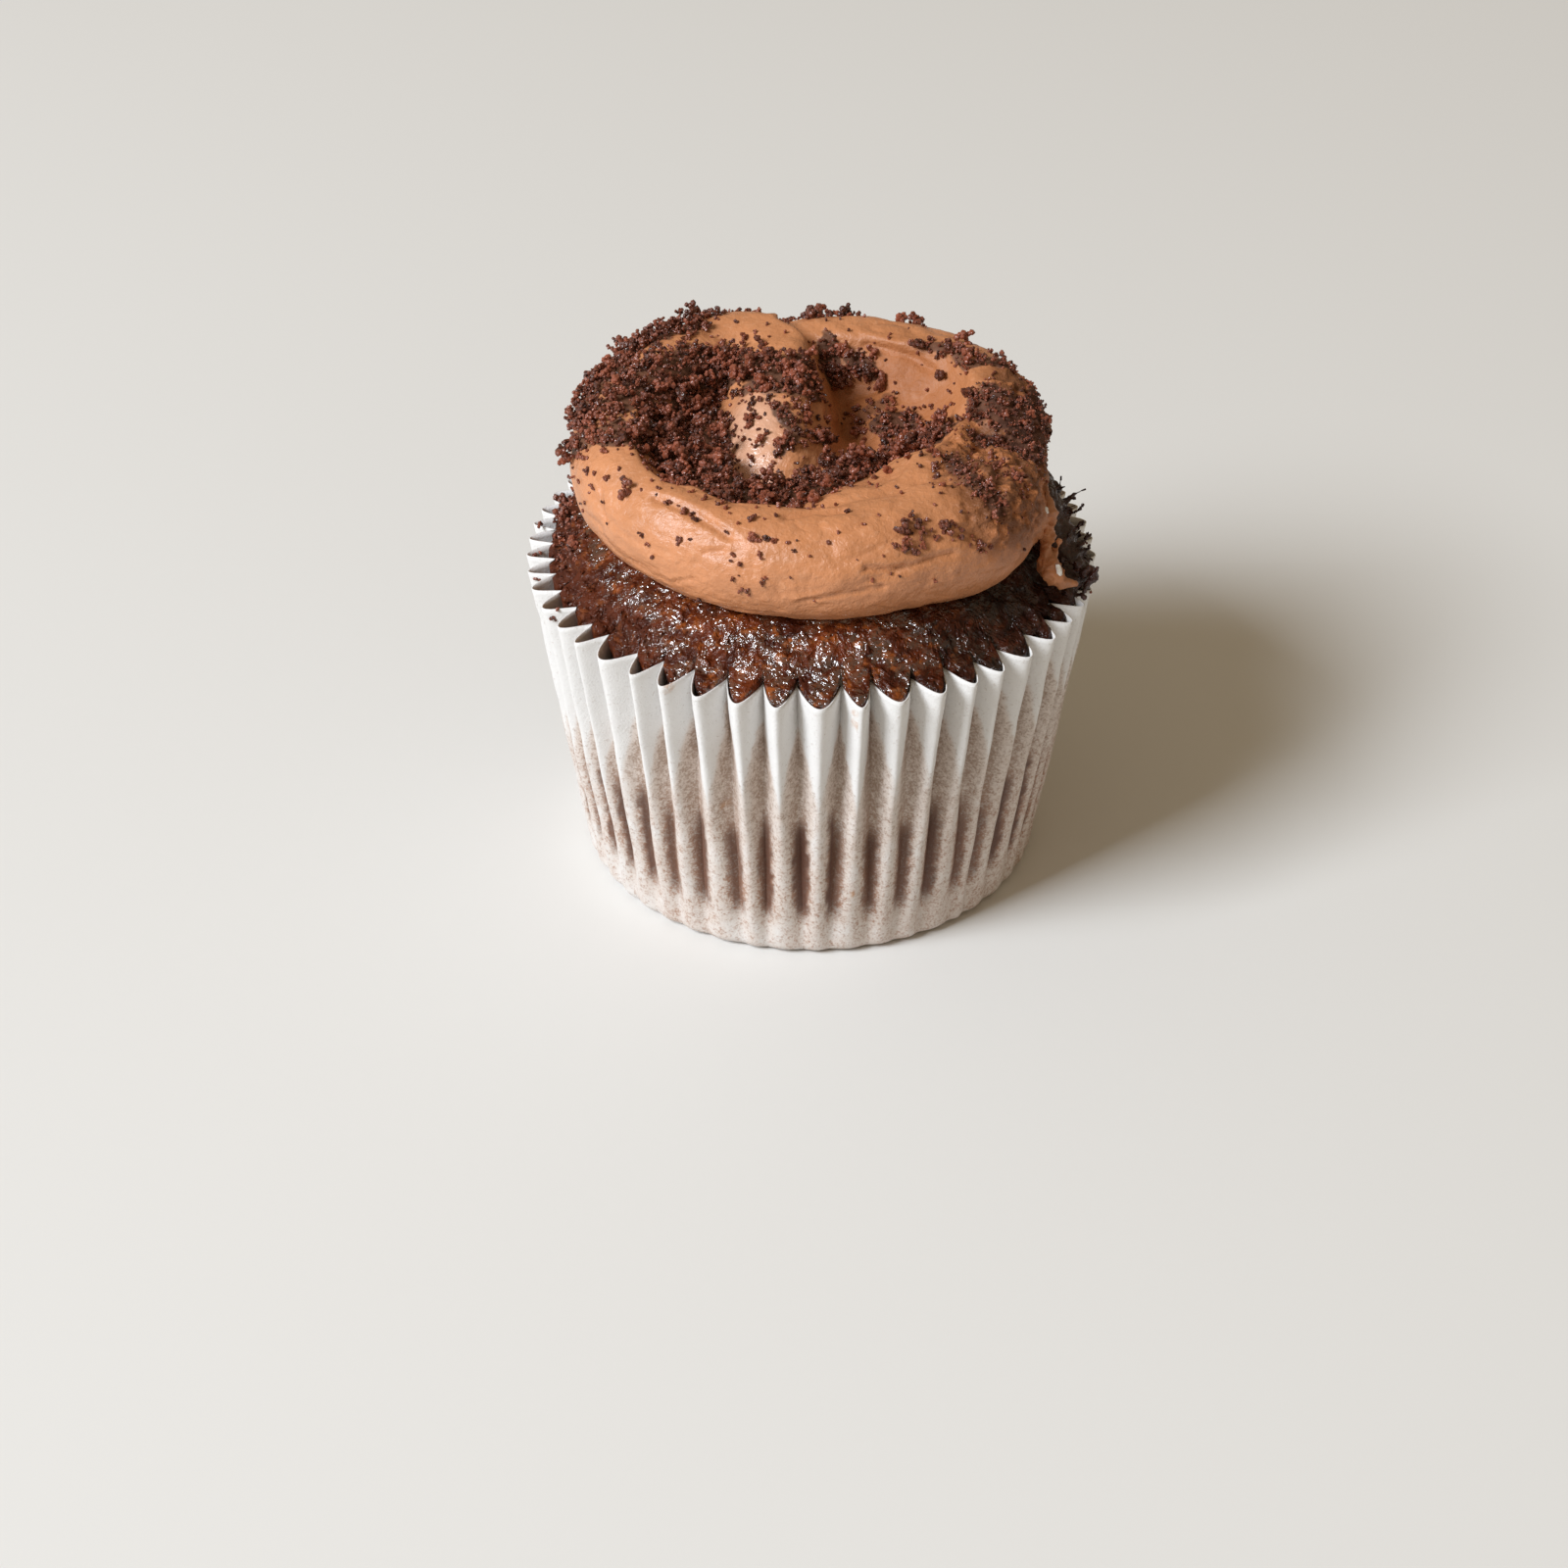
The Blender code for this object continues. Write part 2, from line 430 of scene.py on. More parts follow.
def pleat_stretch(turn):
    first, second = FRONT_STRETCH
    return 1 + first * np.cos(turn) + 2 * second * np.cos(2 * turn)


def plan_turn(angle):
    """The turn whose plan angle this is, by a few steps of correction."""
    turn = angle - FRONT_FOLD
    for _ in range(8):
        turn = turn - (plan_angle(turn) - angle) / pleat_stretch(turn)
    return turn


def flute_power(up):
    """Full ridges low down, thin ones half-way up, and round flutes with sharp folds at the rim."""
    return 1.15 + 0.65 * smoothstep(0.35, 0.60, up) - 0.85 * smoothstep(0.70, 0.95, up)


class Pleats:
    """The uneven pleats of the case, shared by the paper and by the cake that fills them."""

    def __init__(self, case):
        draw = random.Random(5)
        self.case = case
        self.count = case.pleats
        shift = [draw.uniform(-0.13, 0.13) for _ in range(self.count)]
        self.folds = np.array([i + shift[i] for i in range(self.count)])
        self.depths = np.array([draw.uniform(0.86, 1.12) for _ in range(self.count)])
        self.leans = np.array([draw.uniform(-0.22, 0.22) for _ in range(self.count)])
        self.rims = np.array([draw.uniform(-1, 1) for _ in range(self.count)])

    def fold_places(self, length):
        """Each inner fold's place in pleats, which leans a little on its way up the wall."""
        up = length / self.case.wall_length
        return self.folds + self.leans * (up - 0.5)

    def radius(self, pleat, across, length):
        """Distance from the axis of the paper's outside, at this share across a pleat."""
        case = self.case
        up = length / case.wall_length
        wall = case.base_radius + (case.rim_radius - case.base_radius) * up
        turn = 2 * math.pi * (pleat + across) / self.count
        pitch = 2 * math.pi * pleat_stretch(turn) / self.count
        spare = (pitch * (case.base_radius + length)) ** 2 - (pitch * wall) ** 2
        depth = np.sqrt(np.maximum(0.0, spare)) / 2 * (0.72 + 0.28 * smoothstep(0.5, 0.95, up))
        fold_depth = self.depths[pleat % self.count] * (1 - across)
        fold_depth = fold_depth + self.depths[(pleat + 1) % self.count] * across
        flute = np.abs(np.sin(math.pi * across)) ** flute_power(up)
        return wall - depth * fold_depth * (1 - flute)

    def ring(self, length, columns):
        """(plan angles, radii, shares across a pleat) of the points round the wall."""
        folds = self.fold_places(length)
        angles, radii, shares = [], [], []
        for pleat in range(self.count):
            start = folds[pleat]
            end = folds[(pleat + 1) % self.count] + (self.count if pleat == self.count - 1 else 0)
            for column in range(columns):
                share = column / columns
                share = share + 0.09 * math.sin(2 * math.pi * share)
                turn = 2 * math.pi * (start + (end - start) * share) / self.count
                angles.append(plan_angle(turn))
                radii.append(float(self.radius(pleat, share, length)))
                shares.append(share)
        return np.array(angles), np.array(radii), np.array(shares)


def case_height(case, radius, length):
    return np.sqrt(np.maximum(0.0, length**2 - (radius - case.base_radius) ** 2))


def make_case_sheet(case, pleats):
    """The wall and the rounded corner under it as one sheet, with the base closed by a fan."""
    corner = 0.0016
    wall_lengths = corner + (case.wall_length - corner) * np.linspace(0, 1, case.rows) ** 0.9
    points, folds, ups = [], [], []
    for turn_in in (0.0, 0.3, 0.6, 0.85):
        angles, radii, shares = pleats.ring(corner, case.columns)
        swing = math.pi / 2 * (1 - turn_in)
        inner = case.base_radius - corner
        reach = inner + (radii - inner) * math.cos(swing)
        height = corner * (1 - math.sin(swing))
        points.append(np.stack([reach * np.cos(angles), reach * np.sin(angles),
                                np.full_like(reach, height)], 1))
        folds.append(shares)
        ups.append(np.full_like(reach, height))
    for length in wall_lengths:
        angles, radii, shares = pleats.ring(length, case.columns)
        height = case_height(case, radii, length)
        height = np.maximum(height, corner)
        points.append(np.stack([radii * np.cos(angles), radii * np.sin(angles), height], 1))
        folds.append(shares)
        ups.append(np.full_like(radii, length))
    count = len(points[0])
    rows = len(points)
    points = np.concatenate(points)
    shares = np.concatenate(folds)
    lengths = np.concatenate(ups)
    dent = waves(points, 0.007, 3.0) * 0.00022 + waves(points, 0.0022, 4.0) * 0.00006
    dent = dent * smoothstep(0.002, 0.008, lengths)
    away = points[:, :2] / np.linalg.norm(points[:, :2], axis=1)[:, None]
    points[:, :2] += away * dent[:, None]
    faces = grid_faces(rows, count)
    middle = len(points)
    points = np.vstack([points, [[0, 0, 0.00002]]])
    faces += [(middle, (i + 1) % count, i) for i in range(count)]
    mesh = bpy.data.meshes.new("paper_case_fine")
    mesh.from_pydata(points.tolist(), [], faces)
    flutes = np.tile(np.repeat(np.arange(case.pleats), case.columns), rows)
    clean, dark = paper_stains(case, points[:-1], np.abs(2 * shares - 1), lengths / MM, flutes)
    store(mesh, "clean", np.append(clean, 0.6))
    store(mesh, "dark", np.append(dark, 0.0))
    store(mesh, "up", np.append(lengths, 0.0))
    store(mesh, "stain", np.append(spots(points[:-1], PAPER_STAINS), 0.0))
    mesh.update()
    return mesh


# Brown stains on the paper as (x, y, height, radius), in millimetres.
PAPER_STAINS = (
    (-14.8, -26.6, 36.2, 0.9), (-12.3, -27.3, 36.0, 0.8), (4.3, -30.1, 35.2, 0.5),
    (4.3, -30.0, 34.3, 0.6), (4.3, -29.9, 33.4, 0.5), (4.4, -26.7, 9.5, 0.5),
    (-9.1, -26.1, 20.8, 0.7), (17.8, -24.4, 35.8, 0.7),
)


def spots(points, centres):
    """From 1 in the middle of a spot to 0 outside them all."""
    total = np.zeros(len(points))
    for x, y, z, radius in centres:
        distance = np.linalg.norm(points - np.array((x, y, z)) * MM, axis=1)
        total = np.maximum(total, smoothstep(radius * MM, 0.0, distance))
    return total


def paper_stains(case, points, fold, up, flutes):
    """(how clean the paper is, how dark the cake shows in its folds), each from 0 to 1.

    Fat has seeped into the paper from the bottom up: a white tongue is left down each ridge and
    the folds are mottled. Low down, the cake shows dark in the narrow folds. The darker folds and
    the dark slits are partly the cake seen through the paper and partly painted shade in the folds.
    """
    draw = np.random.default_rng(3)
    angle = np.arctan2(points[:, 1], points[:, 0])
    left = smoothstep(-0.35, -0.95, np.cos(angle))
    right = smoothstep(0.35, 0.95, np.cos(angle))
    tongue = draw.uniform(-1.8, 1.8, case.pleats)[flutes]
    uneven = waves(points, 0.0052, 21.0)
    ragged = rough_waves(points, 0.0014, 3, 22.0)
    # Cleaner on the left, toward the key light, and darker on the right, away from it: partly the grease's
    # own spread, partly painted light and shade.
    edge = 24.5 + tongue - 7.0 * left + 2.5 * right + 9.0 * fold**0.9 + 1.6 * uneven + 1.1 * ragged
    white = smoothstep(edge - 2.8, edge + 0.8, up)
    # The folds are made less clean: partly grease, partly painted shade in the folds.
    groove = smoothstep(0.25, 0.75, fold) * smoothstep(4.0, 9.0, up)
    mottled = 0.68 - 0.36 * groove + 0.12 * uneven + 0.12 * ragged + 0.06 * left - 0.12 * right
    clean = mottled + (1 - mottled) * white
    slit = draw.uniform(0.5, 1.0, case.pleats)
    strength = slit[flutes]
    reach = 19.0 + 2.5 * uneven + 6.0 * (strength - 0.6)
    # Dark slits low in the narrow folds: the cake seen through the paper, with painted shade of the folds.
    narrow = smoothstep(0.50, 0.68, fold + 0.14 * ragged)
    dark = narrow * smoothstep(4.2, 7.5, up) * smoothstep(reach, reach - 4.0, up) * strength
    return np.clip(clean - 0.35 * dark, 0, 1), np.clip(dark, 0, 1)


def paper_material(case):
    """White greaseproof paper, greasy and speckled where the cake shows through it, with painted shade in
    its folds.
    """
    nodes = Nodes("greaseproof_paper")
    clean = nodes.attribute("clean")
    dark = nodes.attribute("dark")
    up = nodes.attribute("up")
    fine = nodes.noise(0.00024, detail=2.0, roughness=0.6)
    fibres = nodes.noise(0.0006, detail=3.0, roughness=0.6, distortion=0.6)
    mottle = nodes.math("MULTIPLY_ADD", fibres, 0.5, nodes.math("MULTIPLY", fine, 0.5))
    mottle = nodes.spread(mottle, 0.34, 0.66, smooth=False)
    cover = nodes.math("MULTIPLY_ADD", nodes.math("SUBTRACT", clean, mottle), 1.15, 0.60)
    cover = nodes.spread(cover, 0.0, 1.0)
    height = nodes.spread(up, 0.010, 0.024)
    under = nodes.mix(height, case.soak_and_shadow, case.mottled)
    # In the dark slits the paper takes the groove colour and a darkened copy of the low paper colour: the
    # cake seen through the paper, with painted shade of the folds.
    under = nodes.mix(nodes.math("MULTIPLY", dark, 0.95), under, case.groove)
    over = nodes.mix(nodes.spread(clean, 0.6, 0.95), case.frosted, case.white)
    over = nodes.mix(dark, over, shade(case.soak_and_shadow, 0.28))
    colour = nodes.mix(cover, under, over)
    stain = nodes.math("MULTIPLY", nodes.attribute("stain"), nodes.spread(fibres, 0.3, 0.6))
    colour = nodes.mix(stain, colour, case.stain)
    normal = nodes.bump(nodes.math("ADD", fine, fibres), 0.00005)
    nodes.set(Specular_IOR_Level=0.35)
    roughness = nodes.spread(clean, 0.3, 1.0, 0.45, 0.62)
    return nodes.finish(colour, roughness, normal)


class CUPCAKE_OT_paper_case(bpy.types.Operator):
    """Makes the pleated paper case"""

    bl_idname = "cupcake.paper_case"
    bl_label = "Paper case"

    def execute(self, context):
        case = context.scene.cupcake_case
        mesh = make_case_sheet(case, Pleats(case))
        piece = add_piece(
            "paper_case_fine", mesh, paper_material(case), "paper", "paper_case", crease=60
        )
        solid = piece.modifiers.new("paper", "SOLIDIFY")
        solid.thickness = case.thickness
        solid.offset = -1
        return {"FINISHED"}


# ---------------------------------------------------------------- cake


def crown_height(cake, radius, angle):
    """Height of the dome. Away from the front its edge has sunk where it left the paper."""
    dome = cake.crown_foot + cake.crown_rise * np.sqrt(
        np.maximum(0.0, 1 - (radius / cake.crown_radius) ** 2)
    )
    level = np.where(np.cos(angle) < 0, np.sin(angle) + 0.12, np.sin(angle))
    sunk = 0.0022 * smoothstep(-0.9, 0.2, level) * smoothstep(0.0265, 0.0310, radius)
    shoulder = smoothstep(0.0235, 0.0270, radius) * smoothstep(0.0310, 0.0275, radius)
    return dome - sunk - 0.0010 * shoulder


def make_cake_surface(cake, case, pleats):
    """The crown out to the fluted paper, and the wall below it a little way down."""
    columns = 14
    edge_length = 0.0347
    angles, radii, _ = pleats.ring(edge_length, columns)
    left_paper = np.maximum(
        smoothstep(-0.75, 0.1, np.sin(angles)), smoothstep(-0.20, -0.60, np.cos(angles))
    )
    edge = radii - 0.00022 - 0.0006 * left_paper
    edge = np.minimum(edge, 0.0306 - 0.0019 * left_paper)
    rows = []
    for length in (0.004, 0.020, 0.030):
        ring_angles, ring_radii, _ = pleats.ring(length, columns)
        inside = ring_radii - 0.0005 - 0.0012 * left_paper * smoothstep(0.020, 0.030, length)
        height = case_height(case, ring_radii, length)
        rows.append(np.stack([inside * np.cos(ring_angles), inside * np.sin(ring_angles), height], 1))
    inner = 0.0175
    steps = 62
    for step in range(steps + 1):
        share = step / steps
        radius = edge + (inner - edge) * share
        height = crown_height(cake, radius, angles)
        rows.append(np.stack([radius * np.cos(angles), radius * np.sin(angles), height], 1))
    for radius in (0.015, 0.010, 0.005):
        height = crown_height(cake, np.full_like(angles, radius), angles)
        rows.append(np.stack([radius * np.cos(angles), radius * np.sin(angles), height], 1))
    count = len(angles)
    points = np.concatenate(rows)
    faces = grid_faces(len(rows), count)
    top = len(points)
    bottom = top + 1
    points = np.vstack([points, [[0, 0, cake.crown_foot + cake.crown_rise]], [[0, 0, 0.004]]])
    last = (len(rows) - 1) * count
    faces += [(top, last + i, last + (i + 1) % count) for i in range(count)]
    faces += [(bottom, (i + 1) % count, i) for i in range(count)]
    mesh = bpy.data.meshes.new("cake_fine")
    mesh.from_pydata(points.tolist(), [], faces)
    mesh.update()
    return mesh


def roughen_crown(mesh):
    """Bubbles, lumps and pits in the crust, and a torn, crumbly edge on the left and right."""
    points = coordinates(mesh)
    normals = directions(mesh)
    radius = np.hypot(points[:, 0], points[:, 1])
    angle = np.arctan2(points[:, 1], points[:, 0])
    shown = smoothstep(0.031, 0.033, points[:, 2]) * smoothstep(0.0165, 0.0185, radius)
    lumps = 1 - np.minimum(1.0, cell_distance(points, 0.0021, 1.0)) ** 2
    bubbles = 1 - np.minimum(1.0, cell_distance(points, 0.0010, 2.0)) ** 2
    swells = waves(points, 0.0042, 5.0)
    grain = rough_waves(points, 0.0012, 3, 6.0)
    pits = smoothstep(0.30, 0.6, waves(points, 0.0024, 7.0))
    crumbly = smoothstep(0.45, 0.9, -np.cos(angle - 0.15)) * smoothstep(0.0240, 0.0265, radius)
    torn = smoothstep(0.6, 0.95, np.cos(angle + 0.05)) * smoothstep(0.0250, 0.0275, radius)
    height = (lumps - 0.5) * 0.00030 + (bubbles - 0.5) * 0.00034 + swells * 0.00018
    height = height + grain * 0.00010 - pits * 0.00035
    rough = rough_waves(points, 0.0017, 4, 8.0) * 0.00085
    height = (height + (crumbly + torn) * rough) * shown
    held_by_paper = smoothstep(-0.5, -0.85, np.sin(angle))
    edge = smoothstep(0.0268, 0.0285, radius) * held_by_paper
    height = np.where(height > 0, height * (1 - edge), height * (1 - 0.5 * edge))
    raised = points + normals * height[:, None]
    reach = np.hypot(raised[:, 0], raised[:, 1])
    limit = np.where((radius > 0.026) & (raised[:, 2] < 0.0374), radius, np.inf)
    raised[:, :2] *= np.minimum(1.0, limit / reach)[:, None]
    place_vertices(mesh, raised)
    store(mesh, "crumbly", np.clip(crumbly + 0.5 * torn, 0, 1))
    # The height of the relief, which the material also uses to darken the pits as painted shade.
    store(mesh, "lift", np.clip(height / 0.0006, -1, 1))
    # The right front of the crust, under the buttercream: the material paints the buttercream's shadow
    # there and thins the coat.
    store(mesh, "soak_and_shadow", smoothstep(0.002, 0.021, points[:, 0]) * smoothstep(0.006, -0.004, points[:, 1]))


def cake_material(cake):
    """Moist chocolate crust: nearly black, with lighter lumps and a sticky gloss."""
    nodes = Nodes("chocolate_crust")
    crumbly = nodes.attribute("crumbly")
    lift = nodes.attribute("lift")
    soak_and_shadow = nodes.attribute("soak_and_shadow")
    patches = nodes.noise(0.0030, detail=4.0, roughness=0.6)
    grains = nodes.noise(0.0006, detail=4.0, roughness=0.7)
    # Lighter on raised lumps and darker in pits: partly the crumb's own tone, partly painted shade in the
    # pits.
    share = nodes.math("MULTIPLY_ADD", lift, 0.13, nodes.math("MULTIPLY_ADD", grains, 0.5, patches))
    colour = nodes.mix(nodes.spread(share, 0.60, 0.98), cake.crust, cake.lumps)
    amber = nodes.spread(nodes.noise(0.0014, detail=3.0), 0.54, 0.70)
    colour = nodes.mix(nodes.math("MULTIPLY", amber, 0.75), colour, cake.amber)
    # Darkened copies of the crust, painted in as the buttercream's shadow on the right front.
    shadow_and_wet = nodes.mix(nodes.spread(share, 0.7, 1.05), shade(cake.crust, 0.15), shade(cake.crust, 0.9))
    colour = nodes.mix(nodes.math("MULTIPLY", soak_and_shadow, 0.93), colour, shadow_and_wet)
    colour = nodes.mix(nodes.math("MULTIPLY", crumbly, 0.6), colour, shade(cake.lumps, 0.5))
    swell = nodes.noise(0.0016, detail=1.0, roughness=0.5, distortion=0.8)
    wrinkle = nodes.noise(0.0006, detail=1.0, roughness=0.5, distortion=1.0)
    normal = nodes.bump(swell, 0.0008)
    normal = nodes.bump(wrinkle, 0.00030, after=normal)
    nodes.link(normal, nodes.shader.inputs["Coat Normal"])
    sticky = nodes.spread(nodes.noise(0.0017, detail=3.0), 0.44, 0.54)
    shadow_and_wet = nodes.math("SUBTRACT", sticky, nodes.math("MULTIPLY", crumbly, 0.8))
    shadow_and_wet = nodes.spread(shadow_and_wet, 0.1, 0.8, 0.04, 1.0)
    # Less coat in the painted shadow on the right front, so that it reflects little.
    shadow_and_wet = nodes.math("MULTIPLY", shadow_and_wet, nodes.spread(soak_and_shadow, 0.0, 1.0, 1.0, 0.22))
    nodes.link(shadow_and_wet, nodes.shader.inputs["Coat Weight"])
    nodes.set(Specular_IOR_Level=0.2, Coat_Roughness=0.04, Coat_IOR=2.2)
    roughness = nodes.math("MULTIPLY_ADD", crumbly, 0.3, 0.40)
    return nodes.finish(colour, roughness, normal)


class CUPCAKE_OT_cake(bpy.types.Operator):
    """Makes the sponge, with its glossy crown"""

    bl_idname = "cupcake.cake"
    bl_label = "Cake"

    def execute(self, context):
        cake = context.scene.cupcake_cake
        case = context.scene.cupcake_case
        mesh = make_cake_surface(cake, case, Pleats(case))
        roughen_crown(mesh)
        add_piece("cake_fine", mesh, cake_material(cake), "cake", "cake")
        return {"FINISHED"}


# ---------------------------------------------------------------- buttercream

# Each station of a piped strand is (x, y, height of its middle, radius, lip), in millimetres.
# A lip above zero sharpens the inner edge of the strand's top, and one below zero the outer edge.
OUTER_STRAND = (
    (20.2, -1.5, 46.2, 4.0, 0.0), (19.2, -6.4, 46.0, 5.9, 0.0), (15.7, -12.4, 46.3, 6.5, 0.2),
    (8.0, -17.5, 46.7, 6.0, 0.7), (0.0, -19.4, 46.7, 5.7, 1.0), (-8.0, -17.7, 46.8, 5.7, 1.0),
    (-15.0, -12.4, 47.1, 5.9, 1.0), (-19.3, -4.0, 47.5, 6.1, 0.9), (-19.3, 5.2, 48.0, 6.3, 0.4),
    (-15.6, 13.0, 48.4, 6.4, 0.0), (-9.4, 18.0, 48.6, 6.4, -0.2), (-4.6, 16.0, 48.7, 6.6, -1.0),
    (-3.4, 9.0, 47.8, 6.8, -1.0), (-3.6, 1.0, 45.5, 6.4, -0.5), (-4.2, -5.0, 43.4, 4.4, 0.0),
)
BACK_STRAND = (
    (-7.0, 19.0, 47.0, 5.0, 0.0), (0.0, 19.8, 47.6, 6.0, 0.6), (8.0, 18.6, 47.8, 6.3, 1.0),
    (14.5, 14.5, 47.8, 6.5, 1.0), (19.0, 8.0, 47.4, 6.4, 0.8), (21.1, 1.5, 46.7, 4.5, 0.4),
    (23.1, -3.0, 46.4, 2.1, 0.0), (23.6, -6.5, 46.4, 1.5, 0.0),
)
INNER_STRAND = (
    (6.0, 13.0, 43.5, 4.8, 0.0), (11.5, 9.0, 44.6, 5.8, 0.0), (14.5, 1.0, 45.4, 6.2, 0.0),
    (12.5, -7.0, 46.2, 6.3, 0.0), (7.0, -12.5, 46.7, 5.5, 0.0), (1.0, -15.8, 46.5, 5.0, 0.0),
)
FILLING_STRAND = (
    (-10.0, 9.0, 45.5, 5.0, 0.0), (-12.8, 1.0, 45.3, 5.0, 0.0), (-11.0, -8.0, 45.2, 5.4, 0.0),
    (-4.0, -12.0, 45.4, 5.4, 0.0), (3.0, -8.5, 45.2, 5.0, 0.0), (4.5, -1.0, 43.5, 4.5, 0.0),
)
TAIL = (
    (23.4, -4.5, 49.6, 0.65, 0.0), (24.4, -7.2, 48.2, 0.55, 0.0), (24.8, -8.5, 46.2, 0.60, 0.0),
    (24.8, -9.5, 44.0, 0.75, 0.0), (24.6, -10.6, 42.2, 0.95, 0.0), (25.2, -11.4, 40.7, 0.95, 0.0),
    (26.6, -11.6, 39.6, 0.75, 0.0), (27.8, -11.5, 39.3, 0.35, 0.0),
)
TAIL_FORK = (
    (24.6, -10.4, 42.0, 0.45, 0.0), (25.6, -10.6, 42.6, 0.32, 0.0), (26.1, -10.3, 43.8, 0.18, 0.0),
)

STRANDS = (OUTER_STRAND, BACK_STRAND, INNER_STRAND, FILLING_STRAND)

# Each scoop is ((x, y, height of its middle), (its three radii)), in millimetres: a hollow that
# the spatula left in the swirl.
SCOOPS = (
    ((8.8, 4.0, 58.5), (9.5, 12.0, 11.5)),
    ((-13.3, -4.0, 57.5), (6.4, 12.0, 8.0)),
    ((-5.0, -11.6, 57.0), (9.8, 7.4, 6.6)),
    ((4.2, -6.6, 57.0), (8.6, 9.7, 7.0)),
)

# Each crease is (depth, half width, its points), in millimetres, on the skin of the swirl.
CREASES = (
    (0.45, 0.50, ((-16.2, -15.2, 52.2), (-12.9, -17.6, 52.1), (-11.0, -19.2, 51.9),
                  (-8.6, -21.2, 51.3))),
    (0.40, 0.35, ((-3.0, -19.4, 52.4), (0.1, -18.3, 52.4), (3.1, -18.1, 52.5))),
    (0.25, 0.30, ((-12.3, -20.6, 43.2), (-7.5, -22.6, 43.5), (-2.7, -23.8, 43.3))),
    (0.35, 0.25, ((-1.5, -25.0, 45.6), (2.0, -25.0, 46.3), (4.5, -24.7, 46.6),
                  (7.0, -24.1, 46.9))),
    (0.40, 0.35, ((5.3, -24.0, 49.1), (8.9, -23.2, 48.6), (12.4, -21.6, 48.9),
                  (14.2, -20.5, 48.8))),
    (0.50, 0.35, ((14.9, -20.5, 46.6), (17.7, -18.2, 45.4))),
    (0.30, 0.25, ((6.0, -23.8, 44.2), (8.1, -22.7, 43.3))),
    (0.25, 0.25, ((-14.2, -20.5, 45.3), (-12.2, -21.9, 46.4))),
    (0.30, 0.40, ((-11.1, -21.7, 49.6), (-9.2, -22.2, 50.1))),
    (0.30, 0.40, ((-22.1, -10.5, 50.6), (-21.7, -13.1, 48.2))),
    (0.50, 0.60, ((6.2, 16.2, 53.1), (10.5, 14.1, 52.8), (13.1, 12.4, 52.1))),
    (1.60, 0.70, ((-3.0, 18.0, 55.0), (-0.6, 15.5, 54.0), (1.0, 12.9, 52.2), (1.6, 8.5, 50.5),
                  (1.4, 4.5, 49.5))),
    (0.60, 0.50, ((18.8, -9.5, 53.0), (20.5, -5.0, 52.4), (19.5, -0.5, 52.0))),
    (1.20, 0.45, ((21.0, -3.0, 51.2), (23.2, -5.6, 49.8), (24.0, -7.0, 47.5), (24.0, -7.8, 44.5))),
    (0.35, 0.40, ((-24.5, 2.0, 47.0), (-24.0, -6.0, 46.5), (-21.5, -12.0, 45.8))),
    (0.35, 0.45, ((-12.0, 23.0, 49.0), (-3.0, 24.6, 48.6), (6.0, 24.2, 48.4))),
    (0.35, 0.40, ((12.0, 20.8, 46.6), (18.0, 15.0, 47.0), (23.0, 8.0, 46.2))),
)

LIP_ANGLE = math.radians(70)
LIP_WIDTH = math.radians(9)


def strand_profile(turn, lip):
    """Radius of a strand's section as a share of its own, this far round from its inner side."""
    turn = turn if lip >= 0 else math.pi - turn
    turn = (turn + math.pi) % (2 * math.pi) - math.pi
    rise = math.exp(-(((turn - LIP_ANGLE) / LIP_WIDTH) ** 2))
    below = smoothstep(LIP_ANGLE - 0.04, LIP_ANGLE - 0.30, turn)
    hollow = below * smoothstep(-0.3, 0.4, turn)
    return 1 + abs(lip) * (0.05 * rise - 0.14 * hollow)


def smooth_path(stations, steps=10):
    """A smooth curve through the stations, with all that they carry, in metres."""
    stations = np.array(stations, dtype=float)
    stations[:, :4] *= MM
    ends = [2 * stations[0] - stations[1], *stations, 2 * stations[-1] - stations[-2]]
    path = []
    for before, start, end, after in zip(ends, ends[1:], ends[2:], ends[3:]):
        for step in range(steps):
            t = step / steps
            bend = (2 * before - 5 * start + 4 * end - after) * t**2
            swing = (3 * start - before - 3 * end + after) * t**3
            path.append(0.5 * (2 * start + (end - before) * t + bend + swing))
    path.append(stations[-1])
    return np.array(path)


def strand_mesh(stations, sides=56):
    """Mesh of a piped strand: its section swept along the path, with a round cap at each end."""
    path = smooth_path(stations)
    cap_steps = 6
    rings = []
    for index, (x, y, z, radius, lip) in enumerate(path):
        ahead = path[min(index + 1, len(path) - 1)] - path[max(index - 1, 0)]
        tangent = Vector(ahead[:3]).normalized()
        rings.append((Vector((x, y, z)), tangent, radius, lip))
    first, last = rings[0], rings[-1]
    for step in range(1, cap_steps):
        swing = math.pi / 2 * step / cap_steps
        reach, shrunk = math.sin(swing), math.cos(swing)
        centre, tangent, radius, lip = first
        rings.insert(0, (centre - tangent * radius * reach, tangent, radius * shrunk, lip))
        centre, tangent, radius, lip = last
        rings.append((centre + tangent * radius * reach, tangent, radius * shrunk, lip))
    points = []
    for centre, tangent, radius, lip in rings:
        inward = tangent.cross(Vector((0, 0, 1))).normalized()
        up = inward.cross(tangent)
        for side in range(sides):
            turn = 2 * math.pi * side / sides
            reach = radius * strand_profile(turn, lip)
            points.append(centre + (inward * math.cos(turn) + up * math.sin(turn)) * reach)
    faces = grid_faces(len(rings), sides)
    faces.append(tuple(range(sides)))
    faces.append(tuple(reversed(range(len(points) - sides, len(points)))))
    mesh = bpy.data.meshes.new("strand")
    mesh.from_pydata(points, [], faces)
    mesh.update()
    return mesh


